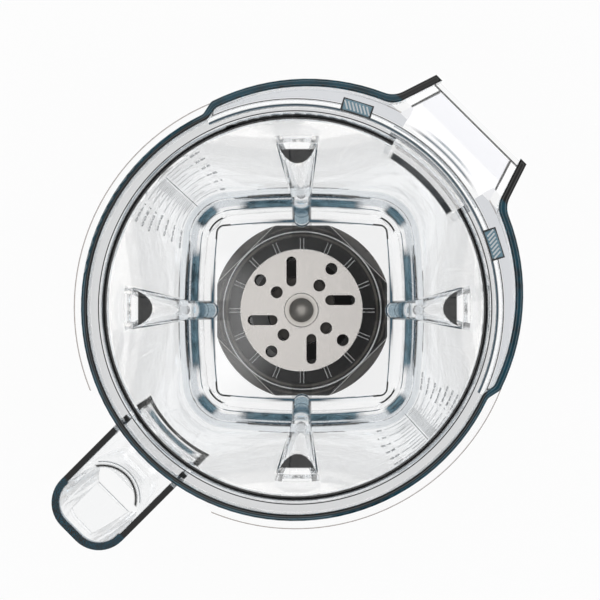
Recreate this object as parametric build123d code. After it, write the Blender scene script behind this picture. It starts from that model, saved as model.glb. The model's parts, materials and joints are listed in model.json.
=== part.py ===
from build123d import *
import math
import os

# Clear blender jar with a perforated agitator disc, in millimetres. The drive axis is Z, the jar stands
# on Z = 0, the spout points along +X and the handle along -X.

# Heights of the jar
FLOOR_TOP = 42.0
FLOOR_THICKNESS = 4.0
FLOOR_FOOT = FLOOR_TOP - FLOOR_THICKNESS
BAND_RISE = 7.0
BAND_HEIGHT = FLOOR_TOP + BAND_RISE
WALL_FOOT_RISE = 9.0
WALL_FOOT = BAND_HEIGHT + WALL_FOOT_RISE
SKIRT_HOLLOW_RISE = 4.0
SKIRT_HOLLOW_TOP = FLOOR_TOP + SKIRT_HOLLOW_RISE
WALL_HEIGHT = 114.0
THROAT_FOOT = WALL_FOOT + WALL_HEIGHT
THROAT_HEIGHT = 9.0
LEDGE_TOP = THROAT_FOOT + THROAT_HEIGHT
RIM_HEIGHT = 11.0
RIM_TOP = LEDGE_TOP + RIM_HEIGHT

# Ledge, rim and round throat
SEAT_RADIUS = 81.2
LEDGE_WIDTH = 6.0
THROAT_RADIUS = SEAT_RADIUS - LEDGE_WIDTH
LEDGE_THICKNESS = 3.0
LEDGE_EDGE = 2.4
RIM_WALL = 2.6
RIM_RADIUS = SEAT_RADIUS + RIM_WALL
RIM_EDGE = 1.1

# Body of the jar: distances from the axis to the inside of the flats, and how much the rounding takes off
# the corners of the square that the flats would make
WALL = 3.0
FLOOR_FLAT = 41.8
FLOOR_ROUNDING = 3.8
BAND_SET = 7.4
BAND_FLAT = FLOOR_FLAT + BAND_SET
BAND_ROUNDING = 8.9
FOOT_SET = 4.6
FOOT_FLAT = BAND_FLAT + FOOT_SET
FOOT_ROUNDING = 10.4
FLOOR_CORNER = math.sqrt(2) * FLOOR_FLAT - FLOOR_ROUNDING
BAND_CORNER = math.sqrt(2) * BAND_FLAT - BAND_ROUNDING
FOOT_CORNER = math.sqrt(2) * FOOT_FLAT - FOOT_ROUNDING
FLAT_TURN = 6.0
THROAT_TURN = 30.0

# Raised front of the rim: collar, shelf and bead
COLLAR_STEP = 3.2
COLLAR_RADIUS = SEAT_RADIUS + COLLAR_STEP
COLLAR_SHIFT = 7.4
COLLAR_WALL = 3.1
COLLAR_HALF_ANGLE = 70.0
COLLAR_STEP_ANGLE = 14.0
COLLAR_STEP_LAP = 3.6
COLLAR_STEP_BLEND = 3.0
SHELF_RISE = 3.0
SHELF_TOP = LEDGE_TOP + SHELF_RISE
BEAD_INSET = 0.1
BEAD_RADIUS = SEAT_RADIUS - BEAD_INSET
BEAD_WIDTH = 3.2
BEAD_RISE = 5.5
BEAD_TOP = LEDGE_TOP + BEAD_RISE

# Outer flange
FLANGE_WIDTH = 4.4
FLANGE_RADIUS = RIM_RADIUS + FLANGE_WIDTH
FLANGE_DROP = 1.0
FLANGE_TOP = LEDGE_TOP - FLANGE_DROP
FLANGE_THICKNESS = 1.6
FLANGE_LAP_ANGLE = 15.0
FLANGE_END_ANGLE = 157.0
FLANGE_ROOT_ANGLE = 163.0

# Lock tabs on the bead
TAB_ANGLE = 27.5
TAB_INNER = BEAD_RADIUS - BEAD_WIDTH / 2
TAB_DEPTH = 5.4
TAB_OUTER = TAB_INNER + TAB_DEPTH
TAB_WIDTH = 12.6
TAB_RISE = 7.0
TAB_TOP = LEDGE_TOP + TAB_RISE
TAB_EDGE = 0.6

# Spout
SPOUT_ROOT_SET = 5.6
SPOUT_ROOT = SEAT_RADIUS + SPOUT_ROOT_SET
SPOUT_LENGTH = 17.0
SPOUT_TIP = SPOUT_ROOT + SPOUT_LENGTH
SPOUT_ROOT_HALF = 30.5
SPOUT_TIP_HALF = 24.9
SPOUT_LIP_SET = 2.4
SPOUT_LIP = SPOUT_TIP - SPOUT_LIP_SET
SPOUT_LIP_RISE = 6.0
SPOUT_LIP_TOP = LEDGE_TOP + SPOUT_LIP_RISE
SPOUT_LIP_THICKNESS = 2.0
SPOUT_FLOOR_DIP = 1.5
SPOUT_BLEND = 9.0

# Pouring channel inside the throat, and the swelling behind it
CHANNEL_HALF_ANGLE = 14.0
CHANNEL_HEIGHT = 25.4
CHANNEL_SILL = THROAT_FOOT - CHANNEL_HEIGHT
CHANNEL_STEP = 3.2
CHANNEL_DEPTH = 3.4
CHANNEL_NECK = 6.0
CHANNEL_KNEE = LEDGE_TOP - CHANNEL_NECK
CHANNEL_PAD_DROP = 14.6
CHANNEL_PAD_FOOT = CHANNEL_SILL - CHANNEL_PAD_DROP

# Flutes on the four flats
FLUTE_GAP = 30.0
FLUTE_TOP = THROAT_FOOT - FLUTE_GAP
FLUTE_TOP_RADIUS, FLUTE_TOP_RISE = 8.9, 5.7
FLUTE_FOOT_RADIUS, FLUTE_FOOT_RISE = 5.0, 4.5
FLUTE_FLOOR_RADIUS, FLUTE_FLOOR_RISE = 4.1, 2.2
FLUTE_TOP_LEAN = 55.0
FLUTE_WALL = 2.6

# Handle
HANDLE_RISE = 5.0
HANDLE_TOP = LEDGE_TOP + HANDLE_RISE
HANDLE_LENGTH = 118.0
HANDLE_FOOT = HANDLE_TOP - HANDLE_LENGTH
HANDLE_REACH = 42.5
HANDLE_TIP = RIM_RADIUS + HANDLE_REACH
HANDLE_DEPTH = 27.8
HANDLE_FINGER_FACE = HANDLE_TIP - HANDLE_DEPTH
HANDLE_WIDTH = 34.2
HANDLE_TAPER = 1.5
HANDLE_SIDE_WALL = 2.5
HANDLE_END_WALL = 3.4
HANDLE_TOP_WALL = 3.0
HANDLE_ARCH_DROP = 26.0
HANDLE_ARCH_TOP = HANDLE_TOP - HANDLE_ARCH_DROP
HANDLE_ARCH_SPAN = 16.0
HANDLE_ARCH_RADIUS = 10.0
HANDLE_ROOT_SINK = 9.2
HANDLE_ROOT = THROAT_RADIUS - HANDLE_ROOT_SINK
HANDLE_ROOT_DROP = 28.0
HANDLE_ROOT_FOOT = HANDLE_ARCH_TOP - HANDLE_ROOT_DROP
HANDLE_CORNER = 13.0
HANDLE_EDGE = 13.0

# Ball bearings, both alike
BEARING_BORE_RADIUS = 4.0
BEARING_OUTER_RADIUS = 11.0
BEARING_HEIGHT = 7.0
BALL_RADIUS = 1.98
BALL_COUNT = 7
BALL_PITCH_RADIUS = (BEARING_BORE_RADIUS + BEARING_OUTER_RADIUS) / 2
BALL_CLEARANCE = 0.04
INNER_RING_WALL, OUTER_RING_WALL = 2.0, 1.9
INNER_LAND_RADIUS = BEARING_BORE_RADIUS + INNER_RING_WALL
OUTER_LAND_RADIUS = BEARING_OUTER_RADIUS - OUTER_RING_WALL
CAGE_WALL = 1.5
CAGE_INNER = BALL_PITCH_RADIUS - CAGE_WALL / 2
CAGE_OUTER = BALL_PITCH_RADIUS + CAGE_WALL / 2
CAGE_DROP = 1.0
CAGE_BACK = 0.9
CAGE_CLEARANCE = 0.08
UPPER_BEARING_DROP = 9.0
UPPER_BEARING_FOOT = FLOOR_TOP - UPPER_BEARING_DROP
BEARING_GAP = 7.0
LOWER_BEARING_FOOT = UPPER_BEARING_FOOT - BEARING_GAP - BEARING_HEIGHT

# Bearing housing, gasket, seal and circlip
GASKET_THICKNESS = 0.8
HOUSING_WALL = 3.3
HOUSING_RADIUS = BEARING_OUTER_RADIUS + HOUSING_WALL
HOUSING_FLANGE_WIDTH = 2.2
HOUSING_FLANGE_RADIUS = HOUSING_RADIUS + HOUSING_FLANGE_WIDTH
HOUSING_FLANGE_HEIGHT = 2.5
HOUSING_FLANGE_FOOT = FLOOR_TOP + GASKET_THICKNESS
HOUSING_TOP = HOUSING_FLANGE_FOOT + HOUSING_FLANGE_HEIGHT
HOUSING_TAIL = 2.5
HOUSING_FOOT = LOWER_BEARING_FOOT - HOUSING_TAIL
HOUSING_SHOULDER = 1.5
HOUSING_EDGE = 1.0
FLOOR_HOLE_CLEARANCE = 0.3
SEAL_SET = 1.5
SEAL_RADIUS = BEARING_OUTER_RADIUS - SEAL_SET
SEAL_FOOT = UPPER_BEARING_FOOT + BEARING_HEIGHT + HOUSING_SHOULDER
SEAL_CLEARANCE = 0.05
SEAL_LIP_BACK = 0.6
SEAL_LIP_HEIGHT = 1.2
CIRCLIP_THICKNESS = 1.2
CIRCLIP_GROOVE = 0.8
CIRCLIP_DEPTH = 1.6
CIRCLIP_GAP_ANGLE = 40.0

# Retaining nut under the floor
WASHER_THICKNESS = 0.6
WASHER_WIDTH = 9.4
NUT_HEIGHT = 17.4
NUT_TOP = FLOOR_FOOT - WASHER_THICKNESS
NUT_FOOT = NUT_TOP - NUT_HEIGHT
NUT_CLEARANCE = 0.1
NUT_HUB_WALL = 4.7
NUT_HUB_RADIUS = HOUSING_RADIUS + NUT_HUB_WALL
NUT_WEB_RISE = 3.0
NUT_WEB_FOOT = NUT_FOOT + NUT_WEB_RISE
NUT_WEB_THICKNESS = 3.0
NUT_WEB_TOP = NUT_WEB_FOOT + NUT_WEB_THICKNESS
NUT_RADIUS = 42.6
NUT_FLAT_SET = 1.9
NUT_FLAT = NUT_RADIUS - NUT_FLAT_SET
NUT_CORNER = 7.0
NUT_RING_SET = 5.0
NUT_RING_OUTER = NUT_RADIUS - NUT_RING_SET
NUT_RING_WALL = 3.0
NUT_RING_INNER = NUT_RING_OUTER - NUT_RING_WALL
NUT_FLANGE_DROP = 1.9
NUT_FLANGE_TOP = NUT_TOP - NUT_FLANGE_DROP
NUT_FLANGE_HEIGHT = 7.5
NUT_FLANGE_FOOT = NUT_FLANGE_TOP - NUT_FLANGE_HEIGHT
NUT_FACET_SET = 5.3
NUT_FACET_APOTHEM = NUT_RADIUS - NUT_FACET_SET
NUT_FACET_TILT = 9.0
NUT_EDGE = 1.0
NUT_RIB_COUNT = 16
NUT_RIB_WIDTH = 2.0
NUT_RIB_DROP = 1.0
NUT_SLOT_COUNT = 6
NUT_SLOT_WIDTH = 5.0
NUT_SLOT_DEPTH = 2.0

# Shaft and what spins with it
SHAFT_TAIL = 15.0
SHAFT_FOOT = LOWER_BEARING_FOOT - SHAFT_TAIL
SPLINE_LENGTH = 11.0
SPLINE_TOP = SHAFT_FOOT + SPLINE_LENGTH
SPLINE_RADIUS = 6.0
SPLINE_DEPTH = 1.1
SPLINE_ROOT_RADIUS = SPLINE_RADIUS - SPLINE_DEPTH
SPLINE_COUNT = 8
SPLINE_SHARE = 0.5
SPLINE_EDGE = 0.8
SHAFT_SHOULDER = 1.5
SHAFT_NECK_RADIUS = BEARING_BORE_RADIUS + SHAFT_SHOULDER
STUD_STEP = 1.0
STUD_RADIUS = BEARING_BORE_RADIUS - STUD_STEP
FIT_CLEARANCE = 0.02
DISC_RISE = 8.5
DISC_FOOT = FLOOR_TOP + DISC_RISE
DISC_THICKNESS = 1.5
DISC_TOP = DISC_FOOT + DISC_THICKNESS
DISC_EDGE = 0.3
SPACER_WALL = 1.6
SPACER_RADIUS = BEARING_BORE_RADIUS + SPACER_WALL
DISC_SEAT_WIDTH = 2.6
DISC_SEAT_RADIUS = SPACER_RADIUS + DISC_SEAT_WIDTH
DISC_SEAT_HEIGHT = 2.0
DISC_RADIUS = 28.8
DISC_HOLE_RADIUS = 2.82
DISC_HOLE_ANGLE = 9.0
DISC_OUTER_SET = 4.85
DISC_HOLE_PITCH = 9.65
DISC_OUTER_HOLES = DISC_RADIUS - DISC_OUTER_SET
DISC_INNER_HOLES = DISC_OUTER_HOLES - DISC_HOLE_PITCH
DISC_SLOT_LENGTH, DISC_SLOT_WIDTH = 14.1, 4.7
DISC_SLOT_SET, DISC_SLOT_OFFSET = 10.6, 4.7
DISC_SLOT_RADIUS = DISC_RADIUS - DISC_SLOT_SET
HUB_WASHER_WIDTH = 5.15
HUB_WASHER_RADIUS = STUD_RADIUS + HUB_WASHER_WIDTH
HUB_WASHER_THICKNESS = 1.0
HUB_WASHER_TOP = DISC_TOP + HUB_WASHER_THICKNESS
HUB_WASHER_EDGE = 0.4
CAP_NUT_WALL = 2.7
CAP_NUT_RADIUS = STUD_RADIUS + CAP_NUT_WALL
CAP_NUT_SKIRT = 2.2
CAP_NUT_DOME = 3.8
STUD_ENGAGEMENT = 4.0
STUD_END_GAP = 0.4

# Extra length of a cutting solid past the face that it opens
PAST = 1.0
QUARTERS = range(4)


def polar(radius, degrees):
    """Point in the XY plane at a distance and an angle."""
    angle = math.radians(degrees)
    return radius * math.cos(angle), radius * math.sin(angle)


def turned(*points):
    """Solid of revolution about Z from the corners (radius, height) of its half section."""
    return revolve(Plane.XZ * make_face(Polyline(*points, close=True)), axis=Axis.Z)


def ring(inner, outer, foot, top):
    """Plain ring or, with no inner radius, a plain disc."""
    section = Circle(outer) - Circle(inner) if inner else Circle(outer)
    return extrude(Pos(0, 0, foot) * section, amount=top - foot)


def slab(section, foot, top):
    """Flat section drawn at Z = 0, raised between two heights."""
    return extrude(Pos(0, 0, foot) * section, amount=top - foot)


def body_section(height, flat, corner, turn):
    """Closed section of the body: four flat arcs and four corner arcs, tangent where they meet.

    The flats face the diagonals and the corners face the axes. turn is the angle between a flat's
    normal and the normal at the joint with its corner arc.
    """
    diagonal = math.sqrt(0.5)
    cosine = math.cos(math.radians(turn))
    sine = math.sin(math.radians(turn))
    reach = corner * diagonal
    scale = diagonal * (cosine - 1) + sine * (1 - diagonal)
    flat_radius = ((flat - reach) * (sine - diagonal) + (cosine - diagonal) * reach) / scale
    edges = []
    for quarter in QUARTERS:
        normal = 45 + 90 * quarter

        def joint(facing, side):
            x, y = polar(flat - flat_radius, facing)
            dx, dy = polar(flat_radius, facing + side * turn)
            return x + dx, y + dy, height

        flat_middle = (*polar(flat, normal), height)
        corner_middle = (*polar(corner, normal + 45), height)
        edges.append(ThreePointArc(joint(normal, -1), flat_middle, joint(normal, 1)))
        edges.append(ThreePointArc(joint(normal, 1), corner_middle, joint(normal + 90, -1)))
    return Wire(edges)


def body_loft(*sections):
    """Solid through body sections given as (height, flat, corner, turn), straight between them."""
    return Solid.make_loft([body_section(*section) for section in sections], ruled=True)


def wall_flat(height):
    """Distance from the axis to the inner face of a flat between the foot and the throat."""
    share = (height - WALL_FOOT) / (THROAT_FOOT - WALL_FOOT)
    return FOOT_FLAT + share * (THROAT_RADIUS - FOOT_FLAT)


def wall_corner(height):
    """Distance from the axis to the inner face of a corner between the foot and the throat."""
    share = (height - WALL_FOOT) / (THROAT_FOOT - WALL_FOOT)
    return FOOT_CORNER + share * (THROAT_RADIUS - FOOT_CORNER)


def jar_shell():
    """Body with its square foot, round throat, stepped floor and hollow skirt."""
    foot = (FOOT_FLAT + WALL, FOOT_CORNER + WALL, FLAT_TURN)
    throat = (THROAT_RADIUS + WALL, THROAT_RADIUS + WALL, THROAT_TURN)
    return body_loft((0, *foot), (WALL_FOOT, *foot), (THROAT_FOOT, *throat))


def jar_cavity():
    """Room inside the jar, up to the ledge."""
    room = body_loft(
        (FLOOR_TOP, FLOOR_FLAT, FLOOR_CORNER, FLAT_TURN),
        (BAND_HEIGHT, BAND_FLAT, BAND_CORNER, FLAT_TURN),
        (WALL_FOOT, FOOT_FLAT, FOOT_CORNER, FLAT_TURN),
        (THROAT_FOOT, THROAT_RADIUS, THROAT_RADIUS, THROAT_TURN),
    )
    return room + ring(0, THROAT_RADIUS, THROAT_FOOT, LEDGE_TOP)


def skirt_hollow():
    """Room under the floor inside the skirt, following the stepped floor at its thickness."""
    room = body_loft(
        (-PAST, FOOT_FLAT, FOOT_CORNER, FLAT_TURN),
        (SKIRT_HOLLOW_TOP, FOOT_FLAT, FOOT_CORNER, FLAT_TURN),
    )
    bowl = body_loft(
        (FLOOR_FOOT, FLOOR_FLAT, FLOOR_CORNER, FLAT_TURN),
        (BAND_HEIGHT - FLOOR_THICKNESS, BAND_FLAT + WALL / 2, BAND_CORNER + WALL / 2, FLAT_TURN),
        (WALL_FOOT, FOOT_FLAT + WALL, FOOT_CORNER + WALL, FLAT_TURN),
    )
    return room - bowl


def rim_outline(inset):
    """Plan of the rim: round behind, a shifted collar in front and the spout.

    With inset, the plan is the inner one, set in by the walls and open past the spout's tip.
    """
    collar_wall = COLLAR_WALL if inset else 0
    rear_radius = SEAT_RADIUS if inset else RIM_RADIUS
    far = 2 * COLLAR_RADIUS
    step_angle = COLLAR_HALF_ANGLE - (COLLAR_STEP_LAP if inset else 0)
    near_corner = polar(SEAT_RADIUS - RIM_WALL, step_angle + COLLAR_STEP_ANGLE / 2)
    far_corner = polar(COLLAR_RADIUS + COLLAR_SHIFT, step_angle - COLLAR_STEP_ANGLE / 2)
    upper = [near_corner, far_corner, (far_corner[0], far), (far, far)]
    lower = [(x, -y) for x, y in reversed(upper)]
    front = Polygon((0, 0), *upper, *lower, align=None)
    collar = (Pos(COLLAR_SHIFT, 0) * Circle(COLLAR_RADIUS - collar_wall)) & front
    slope = (SPOUT_ROOT_HALF - SPOUT_TIP_HALF) / (SPOUT_TIP - SPOUT_ROOT)
    side_wall = collar_wall / math.cos(math.atan(slope))
    start = SEAT_RADIUS - COLLAR_WALL
    end = SPOUT_TIP + (PAST if inset else 0)
    start_half = SPOUT_ROOT_HALF + slope * (SPOUT_ROOT - start) - side_wall
    end_half = SPOUT_ROOT_HALF + slope * (SPOUT_ROOT - end) - side_wall
    spout = Polygon((start, -start_half), (end, -end_half), (end, end_half), (start, start_half), align=None)
    plan = Circle(rear_radius) + collar + spout
    plan = fillet(plan.vertices().filter_by(lambda v: SPOUT_TIP / 2 < v.X < SPOUT_TIP - PAST), SPOUT_BLEND)
    return fillet(plan.vertices().filter_by(lambda v: 0 < v.X < SPOUT_TIP / 2), COLLAR_STEP_BLEND)


def wedge(half_angle, radius):
    """Plan of a slice round +X, reaching past a radius."""
    reach = 2 * radius
    corner = polar(reach, half_angle)
    lower = [(corner[0], -corner[1]), (reach, -corner[1])]
    upper = [(x, -y) for x, y in reversed(lower)]
    return Polygon((0, 0), *lower, *upper, align=None)


def rim():
    """Ledge with its rounded inner edge, and the upright rim wall with the collar and spout sides."""
    foot = LEDGE_TOP - LEDGE_THICKNESS
    edge_arc = RadiusArc(
        (THROAT_RADIUS, LEDGE_TOP - LEDGE_EDGE), (THROAT_RADIUS + LEDGE_EDGE, LEDGE_TOP), LEDGE_EDGE
    )
    outline = Polyline(
        edge_arc @ 1,
        (RIM_RADIUS, LEDGE_TOP),
        (RIM_RADIUS, foot),
        (THROAT_RADIUS + WALL, foot),
        (THROAT_RADIUS + WALL, THROAT_FOOT),
        (THROAT_RADIUS, THROAT_FOOT),
        edge_arc @ 0,
    )
    ledge = revolve(Plane.XZ * make_face([edge_arc, outline]), axis=Axis.Z)
    wall = slab(rim_outline(False) - rim_outline(True), foot, RIM_TOP)
    wall = fillet(wall.edges().group_by(Axis.Z)[-1], RIM_EDGE)
    shelf_foot = SHELF_TOP - LEDGE_THICKNESS
    under_spout = Polygon(
        (RIM_RADIUS, 0),
        (RIM_RADIUS, shelf_foot - SPOUT_FLOOR_DIP),
        (SPOUT_ROOT, shelf_foot - SPOUT_FLOOR_DIP),
        (SPOUT_TIP + PAST, SPOUT_LIP_TOP - SPOUT_LIP_THICKNESS),
        (SPOUT_TIP + PAST, 0),
        align=None,
    )
    return ledge + wall - extrude(Plane.XZ * under_spout, amount=COLLAR_RADIUS, both=True)


def flange():
    """Thin outer flange on both sides of the rim, cut back at a slant beside the handle."""
    plan = Circle(FLANGE_RADIUS) - Circle(RIM_RADIUS - RIM_WALL / 2)
    plan -= wedge(COLLAR_HALF_ANGLE - FLANGE_LAP_ANGLE, FLANGE_RADIUS)
    end = polar(FLANGE_RADIUS, FLANGE_END_ANGLE)
    root = polar(RIM_RADIUS - RIM_WALL / 2, FLANGE_ROOT_ANGLE)
    reach = -2 * FLANGE_RADIUS
    past_end = (end[0] + (end[0] - root[0]), end[1] + (end[1] - root[1]))
    gap = [root, past_end, (reach, past_end[1])]
    plan -= Polygon(*gap, *[(x, -y) for x, y in reversed(gap)], align=None)
    return slab(plan, FLANGE_TOP - FLANGE_THICKNESS, FLANGE_TOP)


def pouring_front():
    """Raised shelf inside the collar, rounded bead along its inner edge, lock tabs and spout floor."""
    foot = LEDGE_TOP - LEDGE_THICKNESS / 2
    half_bead = BEAD_WIDTH / 2
    bead_side = Polyline(
        (BEAD_RADIUS + half_bead, BEAD_TOP - half_bead),
        (BEAD_RADIUS + half_bead, foot),
        (BEAD_RADIUS - half_bead, foot),
        (BEAD_RADIUS - half_bead, BEAD_TOP - half_bead),
    )
    bead_round = ThreePointArc(bead_side @ 1, (BEAD_RADIUS, BEAD_TOP), bead_side @ 0)
    bead = revolve(Plane.XZ * make_face([bead_side, bead_round]), axis=Axis.Z)
    bead &= slab(wedge(COLLAR_HALF_ANGLE, SEAT_RADIUS), 0, RIM_TOP)
    front_plan = rim_outline(False) & wedge(COLLAR_HALF_ANGLE, COLLAR_RADIUS)
    shelf = slab(front_plan - Circle(BEAD_RADIUS), SHELF_TOP - LEDGE_THICKNESS, SHELF_TOP)
    low = SHELF_TOP - SPOUT_FLOOR_DIP
    floor_start = BEAD_RADIUS + half_bead
    floor_side = Polygon(
        (BEAD_RADIUS, low),
        (floor_start, low),
        (SPOUT_LIP, SPOUT_LIP_TOP),
        (SPOUT_LIP, SPOUT_LIP_TOP - SPOUT_LIP_THICKNESS),
        (floor_start, low - LEDGE_THICKNESS),
        (BEAD_RADIUS, low - LEDGE_THICKNESS),
        align=None,
    )
    spout_floor = extrude(Plane.XZ * floor_side, amount=SPOUT_ROOT_HALF, both=True)
    spout_floor &= slab(rim_outline(False), 0, RIM_TOP)
    dip = slab(wedge(CHANNEL_HALF_ANGLE, SPOUT_TIP) - Circle(floor_start), low, RIM_TOP)
    front = shelf - dip + spout_floor + bead
    tab_plan = Pos((TAB_INNER + TAB_OUTER) / 2, 0) * Rectangle(TAB_OUTER - TAB_INNER, TAB_WIDTH)
    tab = slab(tab_plan, foot, TAB_TOP)
    tab = fillet(tab.edges().group_by(Axis.Z)[-1], TAB_EDGE)
    for side in (-1, 1):
        front += Rot(0, 0, side * TAB_ANGLE) * tab
    return front


def channel(wall):
    """Pouring channel behind the bead, or with a wall the swelling round it on the outside."""
    step = wall_corner(CHANNEL_SILL) + CHANNEL_STEP + wall
    back = THROAT_RADIUS + CHANNEL_DEPTH + wall
    inside = THROAT_RADIUS / 2
    top = LEDGE_TOP - LEDGE_THICKNESS if wall else LEDGE_TOP + PAST
    foot = CHANNEL_PAD_FOOT if wall else CHANNEL_SILL
    solid = turned(
        (inside, foot),
        (wall_corner(foot) + wall / 2, foot),
        (step, CHANNEL_SILL + CHANNEL_STEP),
        (back, CHANNEL_KNEE),
        (back, top),
        (inside, top),
    )
    half_angle = CHANNEL_HALF_ANGLE + math.degrees(wall / THROAT_RADIUS)
    return solid & slab(wedge(half_angle, SPOUT_TIP), 0, RIM_TOP)


def flute_sections(wall):
    """Round sections (height, distance, radius) of a flute, from the floor to its top.

    A wall taken off the radius gives the groove on the outside.
    """
    floor = (FLOOR_TOP, FLOOR_FLAT - FLUTE_FLOOR_RISE + FLUTE_FLOOR_RADIUS, FLUTE_FLOOR_RADIUS - wall)
    foot = (WALL_FOOT, FOOT_FLAT - FLUTE_FOOT_RISE + FLUTE_FOOT_RADIUS, FLUTE_FOOT_RADIUS - wall)
    top = (FLUTE_TOP, wall_flat(FLUTE_TOP) - FLUTE_TOP_RISE + FLUTE_TOP_RADIUS, FLUTE_TOP_RADIUS - wall)
    return (foot, top) if wall else (floor, foot, top)


def flute(wall):
    """One flute on the +X side, its top cut at a slant, or with a wall the groove behind it."""
    rounds = []
    for height, distance, radius in flute_sections(wall):
        rounds.append((Pos(distance, 0, height) * Circle(radius)).wire())
    body = Solid.make_loft(rounds, ruled=True)
    cut_size = 4 * FLUTE_TOP_RADIUS
    cut = Box(cut_size, cut_size, cut_size, align=(Align.CENTER, Align.CENTER, Align.MIN))
    return body - Pos(wall_flat(FLUTE_TOP), 0, FLUTE_TOP - wall) * Rot(0, -FLUTE_TOP_LEAN, 0) * cut


def handle_block(inset):
    """Handle seen from the side, with rounded end corners, or set in by its walls for the hollow."""
    top = HANDLE_TOP - (HANDLE_TOP_WALL if inset else 0)
    end_wall = HANDLE_END_WALL if inset else 0
    side_wall = HANDLE_SIDE_WALL if inset else 0
    foot = HANDLE_FOOT - (PAST if inset else 0)
    side = Polygon(
        (-HANDLE_ROOT, top),
        (-HANDLE_TIP + end_wall, top),
        (-HANDLE_TIP + HANDLE_TAPER + end_wall, foot),
        (-HANDLE_FINGER_FACE - HANDLE_TAPER - side_wall, foot),
        (-HANDLE_FINGER_FACE - side_wall, HANDLE_ARCH_TOP + side_wall),
        (-HANDLE_FINGER_FACE + HANDLE_ARCH_SPAN, HANDLE_ARCH_TOP + side_wall),
        (-HANDLE_ROOT, HANDLE_ROOT_FOOT + side_wall),
        align=None,
    )
    arch = side.vertices().filter_by(lambda v: abs(v.Y - HANDLE_ARCH_TOP - side_wall) < PAST)
    side = fillet(arch, HANDLE_ARCH_RADIUS)
    block = extrude(Plane.XZ * side, amount=HANDLE_WIDTH / 2 - side_wall, both=True)
    face_middle = -HANDLE_FINGER_FACE - HANDLE_TAPER / 2 - side_wall
    finger_edges = block.edges().filter_by(lambda e: abs(e.center().X - face_middle) < HANDLE_TAPER)
    finger_edges = finger_edges.filter_by(lambda e: e.bounding_box().size.Z > HANDLE_ARCH_DROP)
    block = fillet(finger_edges, HANDLE_EDGE - side_wall)
    plan = Pos(-HANDLE_TIP / 2 + end_wall, 0) * Rectangle(HANDLE_TIP, HANDLE_WIDTH - 2 * side_wall)
    corners = plan.vertices().group_by(Axis.X)[0]
    return block & slab(fillet(corners, HANDLE_CORNER - side_wall), 0, RIM_TOP)


def handle():
    """Hollow handle, open at its free lower end, trimmed to the outside of the rim."""
    grip = handle_block(False) - handle_block(True)
    return grip - ring(0, RIM_RADIUS - RIM_WALL / 2, LEDGE_TOP - LEDGE_THICKNESS / 2, RIM_TOP)


def jar():
    """The clear moulding: body, floor, skirt, flutes, ledge, rim, spout and handle in one piece."""
    solid_body = jar_shell()
    moulding = solid_body + channel(WALL) + handle()
    moulding = moulding - jar_cavity() - skirt_hollow()
    moulding = moulding + rim() + flange() + pouring_front()
    moulding -= channel(0)
    floor_hole = HOUSING_RADIUS + FLOOR_HOLE_CLEARANCE
    moulding -= ring(0, floor_hole, FLOOR_FOOT - PAST, FLOOR_TOP + PAST)
    for quarter in QUARTERS:
        facing = Rot(0, 0, 45 + 90 * quarter)
        moulding += facing * flute(0) & solid_body
        moulding -= facing * flute(FLUTE_WALL)
    return moulding


def bearing_housing():
    """Flanged sleeve through the floor, with a bore for both bearings and a pocket for the seal."""
    race_top = UPPER_BEARING_FOOT + BEARING_HEIGHT
    shoulder_radius = OUTER_LAND_RADIUS - HOUSING_SHOULDER
    groove_foot = LOWER_BEARING_FOOT - CIRCLIP_THICKNESS
    groove_radius = BEARING_OUTER_RADIUS + CIRCLIP_GROOVE
    return turned(
        (SEAL_RADIUS, HOUSING_TOP),
        (HOUSING_FLANGE_RADIUS - HOUSING_EDGE, HOUSING_TOP),
        (HOUSING_FLANGE_RADIUS, HOUSING_TOP - HOUSING_EDGE),
        (HOUSING_FLANGE_RADIUS, HOUSING_FLANGE_FOOT),
        (HOUSING_RADIUS, HOUSING_FLANGE_FOOT),
        (HOUSING_RADIUS, HOUSING_FOOT),
        (BEARING_OUTER_RADIUS, HOUSING_FOOT),
        (BEARING_OUTER_RADIUS, groove_foot),
        (groove_radius, groove_foot),
        (groove_radius, LOWER_BEARING_FOOT),
        (BEARING_OUTER_RADIUS, LOWER_BEARING_FOOT),
        (BEARING_OUTER_RADIUS, race_top),
        (shoulder_radius, race_top),
        (shoulder_radius, SEAL_FOOT),
        (SEAL_RADIUS, SEAL_FOOT),
    )


def housing_gasket():
    """Flat soft ring between the housing's flange and the floor."""
    inner = HOUSING_RADIUS + FLOOR_HOLE_CLEARANCE
    return ring(inner, HOUSING_FLANGE_RADIUS, FLOOR_TOP, HOUSING_FLANGE_FOOT)


def thrust_washer():
    """Plain ring that the nut turns against, under the floor."""
    inner = HOUSING_RADIUS + FLOOR_HOLE_CLEARANCE
    return ring(inner, inner + WASHER_WIDTH, NUT_TOP, FLOOR_FOOT)


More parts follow.
